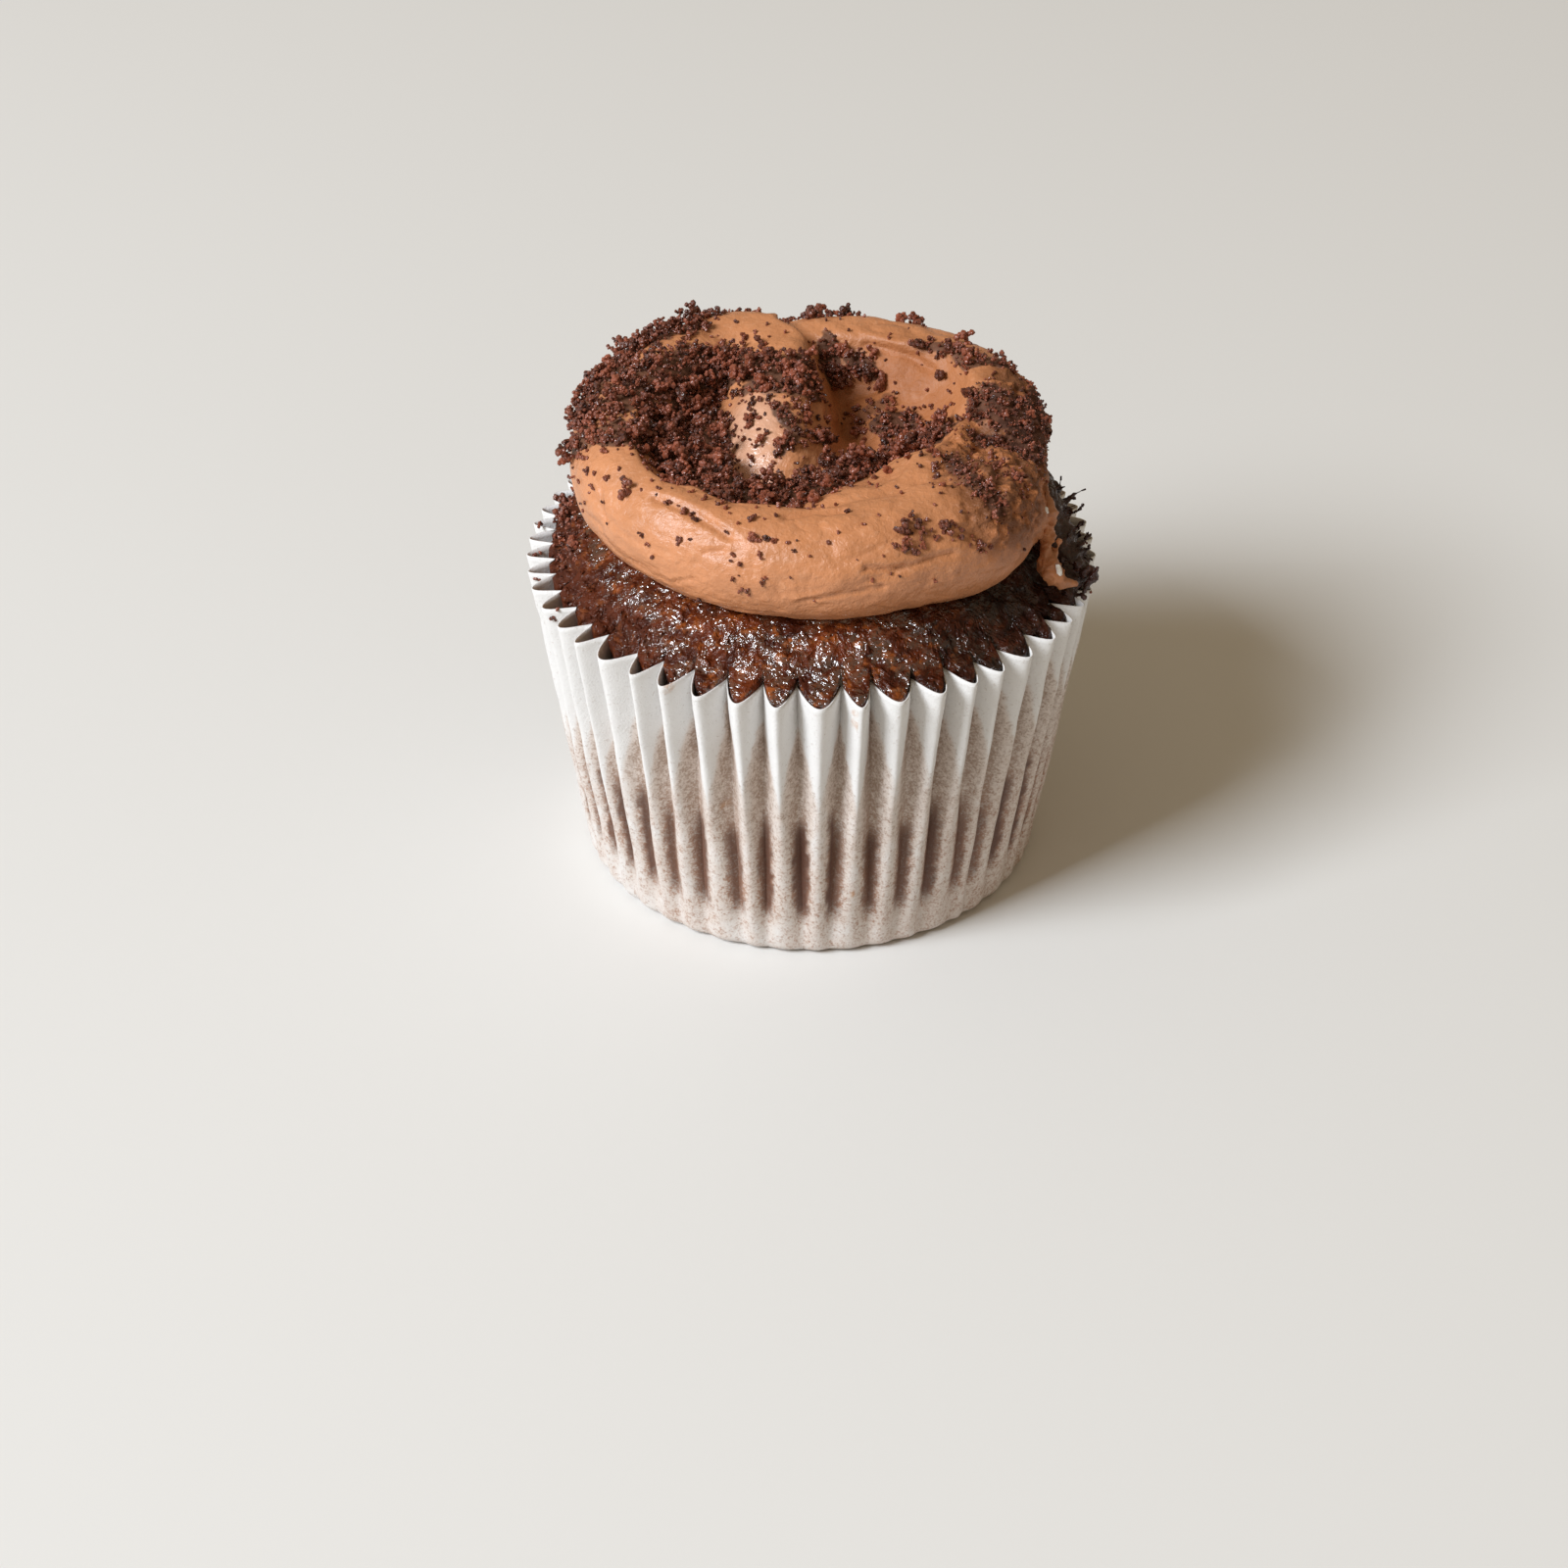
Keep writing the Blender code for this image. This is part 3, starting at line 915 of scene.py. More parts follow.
def joined(meshes, name):
    mesh = bmesh.new()
    for part in meshes:
        mesh.from_mesh(part)
    bmesh.ops.recalc_face_normals(mesh, faces=mesh.faces)
    data = bpy.data.meshes.new(name)
    mesh.to_mesh(data)
    mesh.free()
    return data


def one_skin(mesh, voxel, smoothing):
    """The strands flowed together into a single even skin."""
    work = link("work", mesh)
    remesh = work.modifiers.new("skin", "REMESH")
    remesh.mode = "VOXEL"
    remesh.voxel_size = voxel
    smooth = work.modifiers.new("soften", "SMOOTH")
    smooth.iterations = smoothing
    result = baked(work)
    drop(work)
    return result


def swirl_core():
    ball = bmesh.new()
    bmesh.ops.create_uvsphere(ball, u_segments=48, v_segments=24, radius=0.018)
    for vert in ball.verts:
        vert.co.z = 0.0415 + vert.co.z * 5 / 18
    mesh = bpy.data.meshes.new("core")
    ball.to_mesh(mesh)
    ball.free()
    return mesh


def press_scoops(mesh):
    """Moves what lies inside each scoop out to its surface."""
    points = coordinates(mesh)
    for middle, radii in SCOOPS:
        middle = np.array(middle) * MM
        radii = np.array(radii) * MM
        share = (points - middle) / radii
        reach = np.linalg.norm(share, axis=1)
        inside = reach < 1
        points[inside] = middle + radii * share[inside] / reach[inside][:, None]
    place_vertices(mesh, points)


def distance_to_path(points, path):
    """(distance, height over the path) of every point, to the nearest of the path's stretches."""
    nearest = np.full(len(points), np.inf)
    above = np.zeros(len(points))
    for start, end in zip(path, path[1:]):
        along = end - start
        share = np.clip((points - start) @ along / (along @ along), 0, 1)
        offset = points - start - share[:, None] * along
        distance = np.linalg.norm(offset, axis=1)
        closer = distance < nearest
        nearest[closer] = distance[closer]
        above[closer] = offset[closer, 2]
    return nearest, above


def press_creases(mesh):
    """Folds the skin in along each crease, with a slightly swollen edge over it."""
    points = coordinates(mesh)
    normals = directions(mesh)
    push = np.zeros(len(points))
    for depth, width, path in CREASES:
        path = smooth_path([(*station, 0.0) for station in path], 4)[:, :3]
        distance, above = distance_to_path(points, path)
        fold = np.exp(-((distance / (width * MM)) ** 2))
        swell = np.exp(-((distance / (2.5 * width * MM)) ** 2)) * (above > 0)
        push += depth * MM * (0.45 * swell - fold)
    place_vertices(mesh, points + normals * push[:, None])


def ridges(points, size, seed):
    """Sharp crests from 0 to 1, with softer ground between them."""
    return (1 - np.abs(waves(points, size, seed))) ** 4


# Parts of the swirl's skin, each as (its middle, its three radii), in millimetres.
TORN_FRONT = ((19.5, -8.0, 50.5), (8.0, 12.5, 7.0))
TORN_SIDE = ((23.0, 4.0, 50.0), (6.0, 10.0, 7.0))
TORN_TAIL = ((25.9, -9.6, 42.8), (3.6, 3.4, 7.5))
# The middle fold's front left face, given a painted near-white highlight and a lower roughness.
HIGHLIGHT_AND_GLOSS_FOLD = ((-6.3, 0.0, 51.0), (3.6, 6.5, 5.5))
# The crater's right slope, below the middle fold, browned in the material as painted shade.
SHADED_SLOPE = ((8.0, 9.0, 50.0), (10.0, 9.5, 8.5))


def inside(points, region, edge=0.6):
    """From 1 in the middle of a region to 0 outside it."""
    middle, radii = region
    share = np.linalg.norm((points / MM - np.array(middle)) / np.array(radii), axis=1)
    return smoothstep(1.0 + edge / 2, 1.0 - edge, share)


def torn_share(points):
    return np.maximum.reduce([inside(points, r, 0.4) for r in (TORN_FRONT, TORN_SIDE, TORN_TAIL)])


def roughen_cream(mesh):
    """Streaks that run with the spatula, small creases, and torn skin on the right."""
    points = coordinates(mesh)
    normals = directions(mesh)
    angle = np.arctan2(points[:, 1], points[:, 0])
    reach = np.hypot(points[:, 0], points[:, 1])
    streaked = np.stack([angle * 0.007, points[:, 2] + 0.5 * reach, reach * 0.3], 1)
    streaks = waves(streaked, 0.0011, 1.0)
    creases = ridges(np.stack([angle * 0.011, points[:, 2], reach], 1), 0.0024, 6.0)
    patches = smoothstep(-0.1, 0.35, waves(points, 0.0065, 7.0))
    swells = waves(points, 0.0055, 2.0)
    lumps = waves(points, 0.0019, 3.0)
    grain = waves(points, 0.0009, 4.0)
    torn = torn_share(points)
    tears = ridges(points, 0.0021, 8.0) + 0.7 * ridges(points, 0.0010, 9.0) - 0.6
    height = streaks * 0.00009 + swells * 0.00025 + lumps * (0.00008 + 0.00045 * torn)
    height = height - creases * patches * 0.00028 + grain * (0.00005 + 0.00026 * torn)
    height = height + tears * torn * 0.00042
    place_vertices(mesh, points + normals * height[:, None])


def make_swirl(swirl, cake):
    strands = [strand_mesh(s) for s in STRANDS]
    form = joined([*strands, swirl_core()], "form")
    form = one_skin(form, swirl.form_voxel, swirl.form_smoothing)
    press_scoops(form)
    mesh = one_skin(form, swirl.skin_voxel, 2)
    press_creases(mesh)
    tail = one_skin(joined([strand_mesh(TAIL, 20), strand_mesh(TAIL_FORK, 12)], "tail"), 0.00016, 1)
    mesh = joined([mesh, tail], "buttercream_fine")
    roughen_cream(mesh)
    points = coordinates(mesh)
    radius = np.hypot(points[:, 0], points[:, 1])
    angle = np.arctan2(points[:, 1], points[:, 0])
    floor = crown_height(cake, np.minimum(radius, 0.031), angle) - 0.0001
    points[:, 2] = np.maximum(points[:, 2], floor)
    place_vertices(mesh, points)
    torn = torn_share(points)
    # How thickly crumbs lie, which the material uses to paint shade under them.
    store(mesh, "strewn", trail_thickness(points, SWIRL_TRAILS))
    torn = torn * (1 - 0.75 * inside(points, TORN_TAIL, 0.4))
    store(mesh, "torn", torn)
    # Where the material paints the highlight on the middle fold and lowers the roughness.
    store(mesh, "highlight_and_gloss", inside(points, HIGHLIGHT_AND_GLOSS_FOLD))
    # Browned in the material: painted shade in the hollow, and on the torn side partly its own colour,
    # partly painted shade.
    store(mesh, "shade_and_torn", np.maximum(inside(points, SHADED_SLOPE, 0.6), torn))
    # The left side, which the material lightens as painted sheen toward the key light.
    store(mesh, "pale", smoothstep(-0.014, -0.024, points[:, 0]))
    return mesh


def cream_material(swirl):
    """Satin chocolate buttercream: finely crumpled, with streaks, and browner where it is torn."""
    nodes = Nodes("chocolate_buttercream")
    torn = nodes.attribute("torn")
    highlight_and_gloss = nodes.attribute("highlight_and_gloss")
    slow = nodes.noise(0.006, detail=3.0)
    fine = nodes.noise(0.00055, detail=3.0, roughness=0.6, distortion=0.5)
    blotches = nodes.noise(0.0024, detail=4.0, roughness=0.6)
    streaks = nodes.noise(0.0011, detail=4.0, vector=nodes.stretched((0.35, 0.35, 1.0)))
    colour = nodes.mix(nodes.spread(slow, 0.3, 0.7), shade(swirl.cream, 0.9), swirl.cream)
    # Painted sheen: lighter on the left, toward the key light, and on the crests of the fine bumps.
    colour = nodes.mix(nodes.math("MULTIPLY", nodes.attribute("pale"), 0.15), colour, swirl.pale)
    colour = nodes.mix(nodes.spread(fine, 0.5, 0.75, 0.0, 0.4), colour, swirl.pale)
    # Darker where the streaks are low, in the grooves their bump makes: painted shade in the grooves.
    colour = nodes.mix(nodes.spread(streaks, 0.35, 0.6, 0.3, 0.0), colour, shade(swirl.cream, 0.7))
    # Painted shade in the hollow of the swirl; on the torn right side partly the skin's own colour, partly
    # painted shade.
    shade_and_torn = nodes.math("MULTIPLY", nodes.attribute("shade_and_torn"), nodes.spread(blotches, 0.2, 0.5, 0.55, 1.0))
    colour = nodes.mix(shade_and_torn, colour, swirl.shade_and_torn)
    # Dark brown blotches on the torn skin: partly its own colour, partly painted shade on the side away
    # from the key light.
    brown = nodes.math("MULTIPLY", torn, nodes.spread(blotches, 0.38, 0.54))
    colour = nodes.mix(nodes.math("MULTIPLY", brown, 0.85), colour, shade(swirl.shade_and_torn, 0.36))
    # Painted highlight on the middle fold's front left face.
    colour = nodes.mix(nodes.math("MULTIPLY", highlight_and_gloss, 0.6), colour, swirl.painted_highlight)
    # Painted shade under and between the crumbs: near black where they lie thickly.
    strewn = nodes.spread(nodes.attribute("strewn"), 0.45, 0.8, 0.0, 0.8)
    colour = nodes.mix(strewn, colour, (0.05, 0.016, 0.009))
    crumple = nodes.noise(0.0014, detail=2.0, roughness=0.55, distortion=0.4)
    normal = nodes.bump(nodes.math("MULTIPLY", blotches, torn), 0.0009)
    normal = nodes.bump(crumple, 0.00018, after=normal)
    normal = nodes.bump(fine, 0.00011, after=normal)
    normal = nodes.bump(streaks, 0.00018, after=normal)
    gloss = nodes.math("MULTIPLY_ADD", highlight_and_gloss, -0.18, nodes.spread(fine, 0.3, 0.7, 0.36, 0.50))
    gloss = nodes.math("MULTIPLY_ADD", shade_and_torn, 0.26, gloss)
    gloss = nodes.math("MULTIPLY_ADD", strewn, 0.3, gloss)
    nodes.set(Specular_IOR_Level=0.6)
    return nodes.finish(colour, gloss, normal)


class CUPCAKE_OT_buttercream(bpy.types.Operator):
    """Makes the piped swirl of buttercream"""

    bl_idname = "cupcake.buttercream"
    bl_label = "Buttercream"

    def execute(self, context):
        swirl = context.scene.cupcake_swirl
        mesh = make_swirl(swirl, context.scene.cupcake_cake)
        add_piece("buttercream_fine", mesh, cream_material(swirl), "buttercream", "buttercream")
        return {"FINISHED"}


# ---------------------------------------------------------------- crumbs

# Each trail of crumbs is (radius, how thickly it is strewn, its points), in millimetres.
SWIRL_TRAILS = (
    (2.4, 1.0, ((-23.8, 0.5, 52.3), (-24.1, 4.4, 52.3), (-22.8, 9.0, 53.0), (-20.2, 13.0, 53.4),
                (-17.2, 15.0, 54.2), (-14.5, 17.0, 54.4))),
    (3.2, 1.1, ((-19.8, 2.5, 54.1), (-17.3, 6.9, 54.3), (-13.7, 9.7, 53.6), (-10.0, 10.8, 51.8))),
    (3.4, 1.3, ((-16.8, 0.5, 51.5), (-14.5, -3.0, 49.8), (-12.3, -8.0, 50.1), (-9.6, -11.5, 50.5))),
    (2.8, 1.3, ((-13.1, 6.6, 51.1), (-11.9, 1.6, 50.3), (-11.1, -4.2, 50.1))),
    (2.8, 1.2, ((-9.6, -11.5, 50.5), (-5.0, -13.3, 50.5), (-0.4, -10.0, 50.2), (2.6, -6.5, 49.6),
                (5.8, -2.5, 48.6))),
    (2.3, 1.1, ((5.8, -2.5, 48.6), (8.6, 1.6, 47.6), (11.4, 3.6, 47.8), (13.8, 3.4, 49.0))),
    (2.2, 1.0, ((-9.4, 12.5, 52.9), (-6.7, 9.7, 53.9), (-4.1, 8.0, 54.4), (-1.1, 8.2, 54.6),
                (-0.3, 5.9, 53.3))),
    (1.1, 0.8, ((-3.4, 1.9, 52.8), (-1.7, -0.7, 51.6), (-3.0, -2.3, 50.6))),
    (1.4, 0.9, ((1.9, 16.8, 52.8), (2.4, 14.4, 49.8))),
    (1.2, 1.0, ((4.6, 15.4, 51.6), (6.5, 14.1, 50.6))),
    (1.3, 0.6, ((5.6, 9.2, 47.8), (8.3, 10.7, 49.0))),
    (1.7, 0.9, ((7.2, 7.7, 47.8), (10.9, 8.0, 47.9))),
    (1.1, 0.7, ((12.1, 14.4, 54.1), (15.7, 12.6, 54.3), (17.0, 9.6, 54.0), (19.6, 10.3, 53.9),
                (21.8, 10.8, 52.8))),
    (1.9, 0.9, ((24.0, 9.0, 51.0), (24.3, 6.0, 50.8), (25.0, 4.0, 49.0), (22.8, 1.8, 50.7),
                (22.3, 4.0, 52.0))),
    (2.2, 0.9, ((18.4, 4.3, 52.7), (20.3, 2.2, 51.8), (22.8, 1.8, 50.7), (23.5, -1.5, 49.5))),
    (1.8, 0.8, ((17.9, -1.0, 50.6), (22.3, -0.8, 49.5))),
    (1.7, 0.65, ((14.8, -7.7, 52.1), (17.2, -13.3, 52.8), (18.5, -15.0, 50.5))),
    (1.2, 0.55, ((19.5, -8.5, 51.9), (21.5, -10.5, 50.3))),
    (0.8, 0.5, ((10.0, -20.1, 51.9), (11.8, -20.3, 51.1), (9.5, -22.2, 50.3))),
    (0.8, 0.3, ((13.8, -18.9, 51.4), (15.0, -19.6, 49.8), (17.6, -18.5, 47.9))),
    (1.0, 0.7, ((0.6, 1.0, 49.8), (1.8, 1.8, 49.4))),
    (3.4, 0.10, ((-6.0, 4.0, 54.0), (-4.0, -2.0, 52.5), (-3.5, -6.5, 51.0))),
    (1.8, 0.7, ((-7.5, 6.0, 53.8), (-4.0, 5.5, 54.4), (-0.5, 5.0, 53.2))),
    (1.5, 0.45, ((-7.5, 3.0, 53.0), (-6.5, -1.5, 51.8), (-5.8, -5.0, 50.5))),
    (1.4, 0.5, ((-1.0, 1.5, 52.5), (0.0, -2.5, 51.0), (1.5, -5.5, 50.0))),
    (4.5, 0.14, ((16.0, -12.0, 52.8), (19.0, -6.0, 52.6), (22.0, 0.0, 51.5))),
    (3.0, 0.3, ((23.5, -1.0, 50.0), (24.8, 4.0, 50.0), (24.5, 8.5, 50.0))),
    (2.2, 0.8, ((-24.3, -1.5, 50.5), (-21.5, -3.5, 53.0), (-18.6, -4.5, 53.2))),
    (1.5, 0.5, ((-12.0, 20.5, 54.0), (-5.0, 22.8, 53.3), (4.0, 22.8, 52.8))),
    (1.3, 0.4, ((10.0, 21.5, 51.5), (17.0, 16.5, 51.0))),
    (2.2, 0.7, ((-23.5, 11.0, 50.5), (-18.5, 18.5, 50.5))),
)

# Crumbs that lie alone on the front, as (x, y, height, width) in millimetres.
LONE_CRUMBS = (
    (-19.2, -13.1, 51.7, 2.2), (-19.6, -12.2, 52.3, 1.3), (-6.0, -22.0, 51.3, 1.5),
    (-4.8, -22.2, 51.4, 1.2), (-4.0, -22.4, 51.2, 0.9), (-6.3, -19.8, 52.2, 1.1),
    (-5.0, -19.8, 52.3, 0.5), (-17.6, -17.6, 49.1, 0.8), (-17.1, -18.3, 48.4, 0.7),
    (-13.7, -20.0, 49.9, 1.0), (-8.4, -23.0, 49.3, 0.6), (-7.5, -23.4, 49.2, 0.9),
    (-5.4, -23.4, 50.2, 0.9), (1.5, -22.7, 51.3, 0.8), (-2.0, -23.2, 50.5, 0.6),
    (-8.2, -23.6, 47.6, 0.8), (-5.0, -24.4, 48.1, 0.7), (-5.2, -24.5, 47.6, 0.7),
    (-7.4, -24.1, 46.5, 0.7), (-6.8, -24.2, 46.5, 0.8), (-11.8, -20.7, 43.3, 1.0),
    (9.0, -20.8, 51.7, 1.9), (10.6, -20.2, 51.6, 1.2), (8.3, -22.2, 50.6, 0.9),
    (9.2, -22.0, 50.6, 1.4), (13.3, -19.6, 51.4, 1.6), (13.9, -19.6, 50.5, 1.2),
    (-21.4, -10.4, 51.6, 1.0), (-22.6, -8.6, 51.0, 0.8), (-23.4, -7.5, 50.6, 0.9),
    (-22.0, -12.0, 49.6, 0.6), (12.4, -22.0, 46.4, 0.7), (3.4, -18.8, 52.6, 0.9),
)


# The crumbs on the cake lie where its edge has torn away from the paper.
CAKE_TRAILS = (
    (1.9, 1.2, ((-26.0, 12.5, 38.5), (-27.4, 6.5, 38.5), (-27.3, 0.0, 38.6), (-26.0, -5.5, 38.8))),
    (1.4, 0.8, ((28.0, 9.0, 37.5), (29.0, 3.0, 37.0), (29.0, -3.0, 37.0), (28.2, -8.5, 37.5))),
)


# The lowest and the highest end of the line along which shreds of cake stand up on the right,
# and how many there are.
SHRED_LINE = ((28.6, -7.5, 37.2), (26.0, 1.0, 42.0))
SHRED_COUNT = 70
SHRED_BANK = (
    (21.8, 8.5, 40.6, 1.6, 0.0), (22.6, 4.0, 42.4, 2.9, 0.0), (23.9, 0.0, 41.9, 3.3, 0.0),
    (25.2, -3.2, 39.7, 3.2, 0.0), (26.6, -6.4, 37.7, 2.6, 0.0), (27.0, -9.4, 36.6, 1.4, 0.0),
)

# Crumbs that lie on the paper's edge, as (x, y, height, width) in millimetres.
RIM_CRUMBS = (
    (-30.3, -0.5, 36.0, 0.9), (-29.8, -0.2, 36.2, 0.6), (-29.7, -5.2, 35.9, 0.8),
    (-27.1, -12.4, 36.6, 0.7), (-27.5, -12.3, 35.4, 0.9), (-29.9, 4.0, 37.2, 0.8),
    (30.2, -4.6, 36.4, 0.8), (29.8, -8.3, 36.2, 0.6), (29.9, 0.5, 37.0, 0.6),
)

# Thin pale flakes caught in the shreds, as (x, y, height, length, width, lean in degrees).
FLAKES = ((24.4, -9.9, 47.3, 0.9, 0.8, 20.0), (26.1, -12.3, 41.0, 2.3, 0.65, 12.0))


def grain_ball(radius, middle, seed):
    """(points, triangles) of one angular grain."""
    ball = bmesh.new()
    bmesh.ops.create_icosphere(ball, subdivisions=1, radius=1.0)
    points = np.array([vert.co[:] for vert in ball.verts])
    faces = np.array([[vert.index for vert in face.verts] for face in ball.faces])
    ball.free()
    points = points * (1 + 0.4 * waves(points, 0.7, seed))[:, None]
    return points * radius + np.array(middle), faces


def crumb_shape(grains, seed):
    """One ragged crumb of about unit width: grains stuck on one another one by one."""
    draw = random.Random(seed)
    radius = 0.5 / grains ** 0.42
    middles = [Vector((0, 0, 0))]
    while len(middles) < grains:
        away = Vector([draw.gauss(0, 1) for _ in range(3)]).normalized()
        middles.append(draw.choice(middles) + away * radius * 1.25)
    centre = sum(middles, Vector()) / grains
    points, faces, count = [], [], 0
    for index, middle in enumerate(middles):
        grain_points, grain_faces = grain_ball(
            radius * draw.uniform(0.7, 1.25), middle - centre, seed + index
        )
        points.append(grain_points)
        faces.append(grain_faces + count)
        count += len(grain_points)
    return np.concatenate(points), np.concatenate(faces)


def random_turn(draw):
    """Rotation matrix drawn evenly from all rotations."""
    quarter = draw.normal(size=4)
    w, x, y, z = quarter / np.linalg.norm(quarter)
    return np.array([
        [1 - 2 * (y * y + z * z), 2 * (x * y - w * z), 2 * (x * z + w * y)],
        [2 * (x * y + w * z), 1 - 2 * (x * x + z * z), 2 * (y * z - w * x)],
        [2 * (x * z - w * y), 2 * (y * z + w * x), 1 - 2 * (x * x + y * y)],
    ])


def strewn_mesh(name, shapes, places, sizes, draw):
    """All crumbs of one kind as a single mesh."""
    points, faces, count = [], [], 0
    tints = []
    for place, size in zip(places, sizes):
        shape_points, shape_faces = shapes[draw.integers(len(shapes))]
        points.append(shape_points @ random_turn(draw).T * size + place)
        faces.append(shape_faces + count)
        tints.append(np.full(len(shape_points), draw.uniform()))
        count += len(shape_points)
    mesh = bpy.data.meshes.new(name)
    mesh.from_pydata(np.concatenate(points).tolist(), [], np.concatenate(faces).tolist())
    store(mesh, "tint", np.concatenate(tints))
    mesh.update()
    return mesh


def surface_samples(mesh, count, draw):
    """(places, directions) spread evenly over the upper side of a mesh."""
    mesh.calc_loop_triangles()
    triangles = np.empty(len(mesh.loop_triangles) * 3, dtype=int)
    mesh.loop_triangles.foreach_get("vertices", triangles)
    corners = coordinates(mesh)[triangles.reshape(-1, 3)]
    normal = np.cross(corners[:, 1] - corners[:, 0], corners[:, 2] - corners[:, 0])
    area = np.linalg.norm(normal, axis=1)
    chosen = draw.choice(len(corners), count, p=area / area.sum())
    first, second = draw.random(count), draw.random(count)
    over = first + second > 1
    first[over], second[over] = 1 - first[over], 1 - second[over]
    base = corners[chosen]
    places = base[:, 0] + first[:, None] * (base[:, 1] - base[:, 0])
    places = places + second[:, None] * (base[:, 2] - base[:, 0])
    return places, normal[chosen] / area[chosen][:, None]


def trail_thickness(places, trails):
    """How thickly crumbs lie at each place, from 0 to about 1."""
    total = np.zeros(len(places))
    patches = 0.45 * waves(places, 0.0017, 9.0) + 0.25 * waves(places, 0.0008, 10.0)
    for radius, strength, path in trails:
        distance, _ = distance_to_path(places, np.array(path) * MM)
        share = distance / (radius * MM) + patches
        near = smoothstep(1.35, 0.55, share) + 0.10 * smoothstep(2.6, 1.0, share)
        total = np.maximum(total, strength * near)
    return total


def strew(mesh, trails, sparse, count, sizes, pile, draw):
    """Places for crumbs on a mesh: thick along the trails and sparse over the rest of its top."""
    places, normals = surface_samples(mesh, count * 40, draw)
    thick = trail_thickness(places, trails)
    on_top = smoothstep(-0.3, 0.2, normals[:, 2]) * smoothstep(0.034, 0.038, places[:, 2])
    chance = on_top * (thick + sparse * smoothstep(0.0425, 0.046, places[:, 2]))
    kept = np.flatnonzero(draw.random(len(places)) < np.clip(chance, 0, 1) * 0.6)[:count]
    torn = torn_share(places[kept])
    width = sizes[0] + (sizes[1] - sizes[0]) * draw.random(len(kept)) ** 1.6
    width = width * MM * (1 - 0.38 * torn)
    clumps = smoothstep(-0.45, 0.35, waves(places[kept], 0.0019, 12.0))
    heap = np.clip(thick[kept] - 0.3, 0, 1) * pile * (0.15 + 1.1 * clumps) * MM
    lift = width * (0.28 - 0.16 * torn) + draw.random(len(kept)) * heap * (1 - 0.5 * torn)
    return places[kept] + normals[kept] * lift[:, None], width


def crumb_material(crumbs):
    """Moist chocolate sponge crumbs, granular, with a few damp glints, and painted light and shade."""
    nodes = Nodes("chocolate_crumb")
    tint = nodes.attribute("tint")
    grain = nodes.noise(0.00035, detail=3.0, roughness=0.6)
    share = nodes.math("MULTIPLY_ADD", tint, 0.5, nodes.math("MULTIPLY", grain, 0.9))
    # The shaded and lit copies mixed at random: painted shade and painted light.
    colour = nodes.mix(nodes.spread(share, 0.25, 1.05), crumbs.dark, crumbs.light)
    normal = nodes.bump(grain, 0.00012)
    roughness = nodes.spread(nodes.noise(0.0004, detail=1.0), 0.4, 0.6, 0.20, 0.6)
    nodes.set(Specular_IOR_Level=0.6)
    return nodes.finish(colour, roughness, normal)


class CUPCAKE_OT_crumbs(bpy.types.Operator):
    """Strews crumbs over the buttercream, coarse, medium and fine"""

    bl_idname = "cupcake.crumbs"
    bl_label = "Crumbs"

    def execute(self, context):
        crumbs = context.scene.cupcake_crumbs
        swirl = bpy.data.objects["buttercream_fine"].data
        cake = bpy.data.objects["cake_fine"].data
        tree = BVHTree.FromObject(
            bpy.data.objects["buttercream_fine"], context.evaluated_depsgraph_get()
        )
        material = crumb_material(crumbs)
        kinds = (
            ("crumbs_coarse", 12, 645, (0.85, 2.15), 0.004, 1.8),
            ("crumbs_medium", 6, 1370, (0.55, 1.0), 0.008, 1.7),
            ("crumbs_fine", 2, 4080, (0.28, 0.62), 0.022, 1.3),
        )
        for index, (name, grains, count, sizes, sparse, pile) in enumerate(kinds):
            draw = np.random.default_rng(crumbs.seed + index)
            shapes = [crumb_shape(grains, 31 * index + variant) for variant in range(12)]
            places, widths = strew(swirl, SWIRL_TRAILS, sparse, count, sizes, pile, draw)
            edge_places, edge_widths = strew(cake, CAKE_TRAILS, 0.0, count // 9, sizes, 1.0, draw)
            places = np.concatenate([places, edge_places])
            widths = np.concatenate([widths, edge_widths])
            if name == "crumbs_medium":
                rim = np.array(RIM_CRUMBS)
                places = np.concatenate([rim[:, :3] * MM, places])
                widths = np.concatenate([rim[:, 3] * MM, widths])
            if name == "crumbs_coarse":
                lone = [tree.find_nearest(Vector(c[:3]) * MM) for c in LONE_CRUMBS]
                lone_widths = np.array([c[3] for c in LONE_CRUMBS]) * MM
                lone_places = np.array([place for place, _, _, _ in lone])
                lone_lift = np.array([normal for _, normal, _, _ in lone])
                lone_places = lone_places + lone_lift * (lone_widths * 0.22)[:, None]
                places = np.concatenate([lone_places, places])
                widths = np.concatenate([lone_widths, widths])
            mesh = strewn_mesh(name, shapes, places, widths, draw)
            add_piece(name, mesh, material, "cake", crease=0)
        return {"FINISHED"}


def shred_stations(draw):
    """Path of one crooked, tapering shred of cake."""
    low, high = np.array(SHRED_LINE)
    start = low + (high - low) * draw.uniform() + draw.normal(size=3) * (0.6, 1.2, 0.5)
    way = np.array([0.75, -0.30, 0.75]) + draw.normal(size=3) * 0.5
    length = draw.uniform(0.7, 1.7)
    radius = draw.uniform(0.16, 0.36)
    stations = []
    for share in np.linspace(0, 1, 4):
        bend = draw.normal(size=3) * 0.22 * share
        stations.append((*(start + way * length * share + bend), radius * (1 - 0.35 * share), 0.0))
    return stations


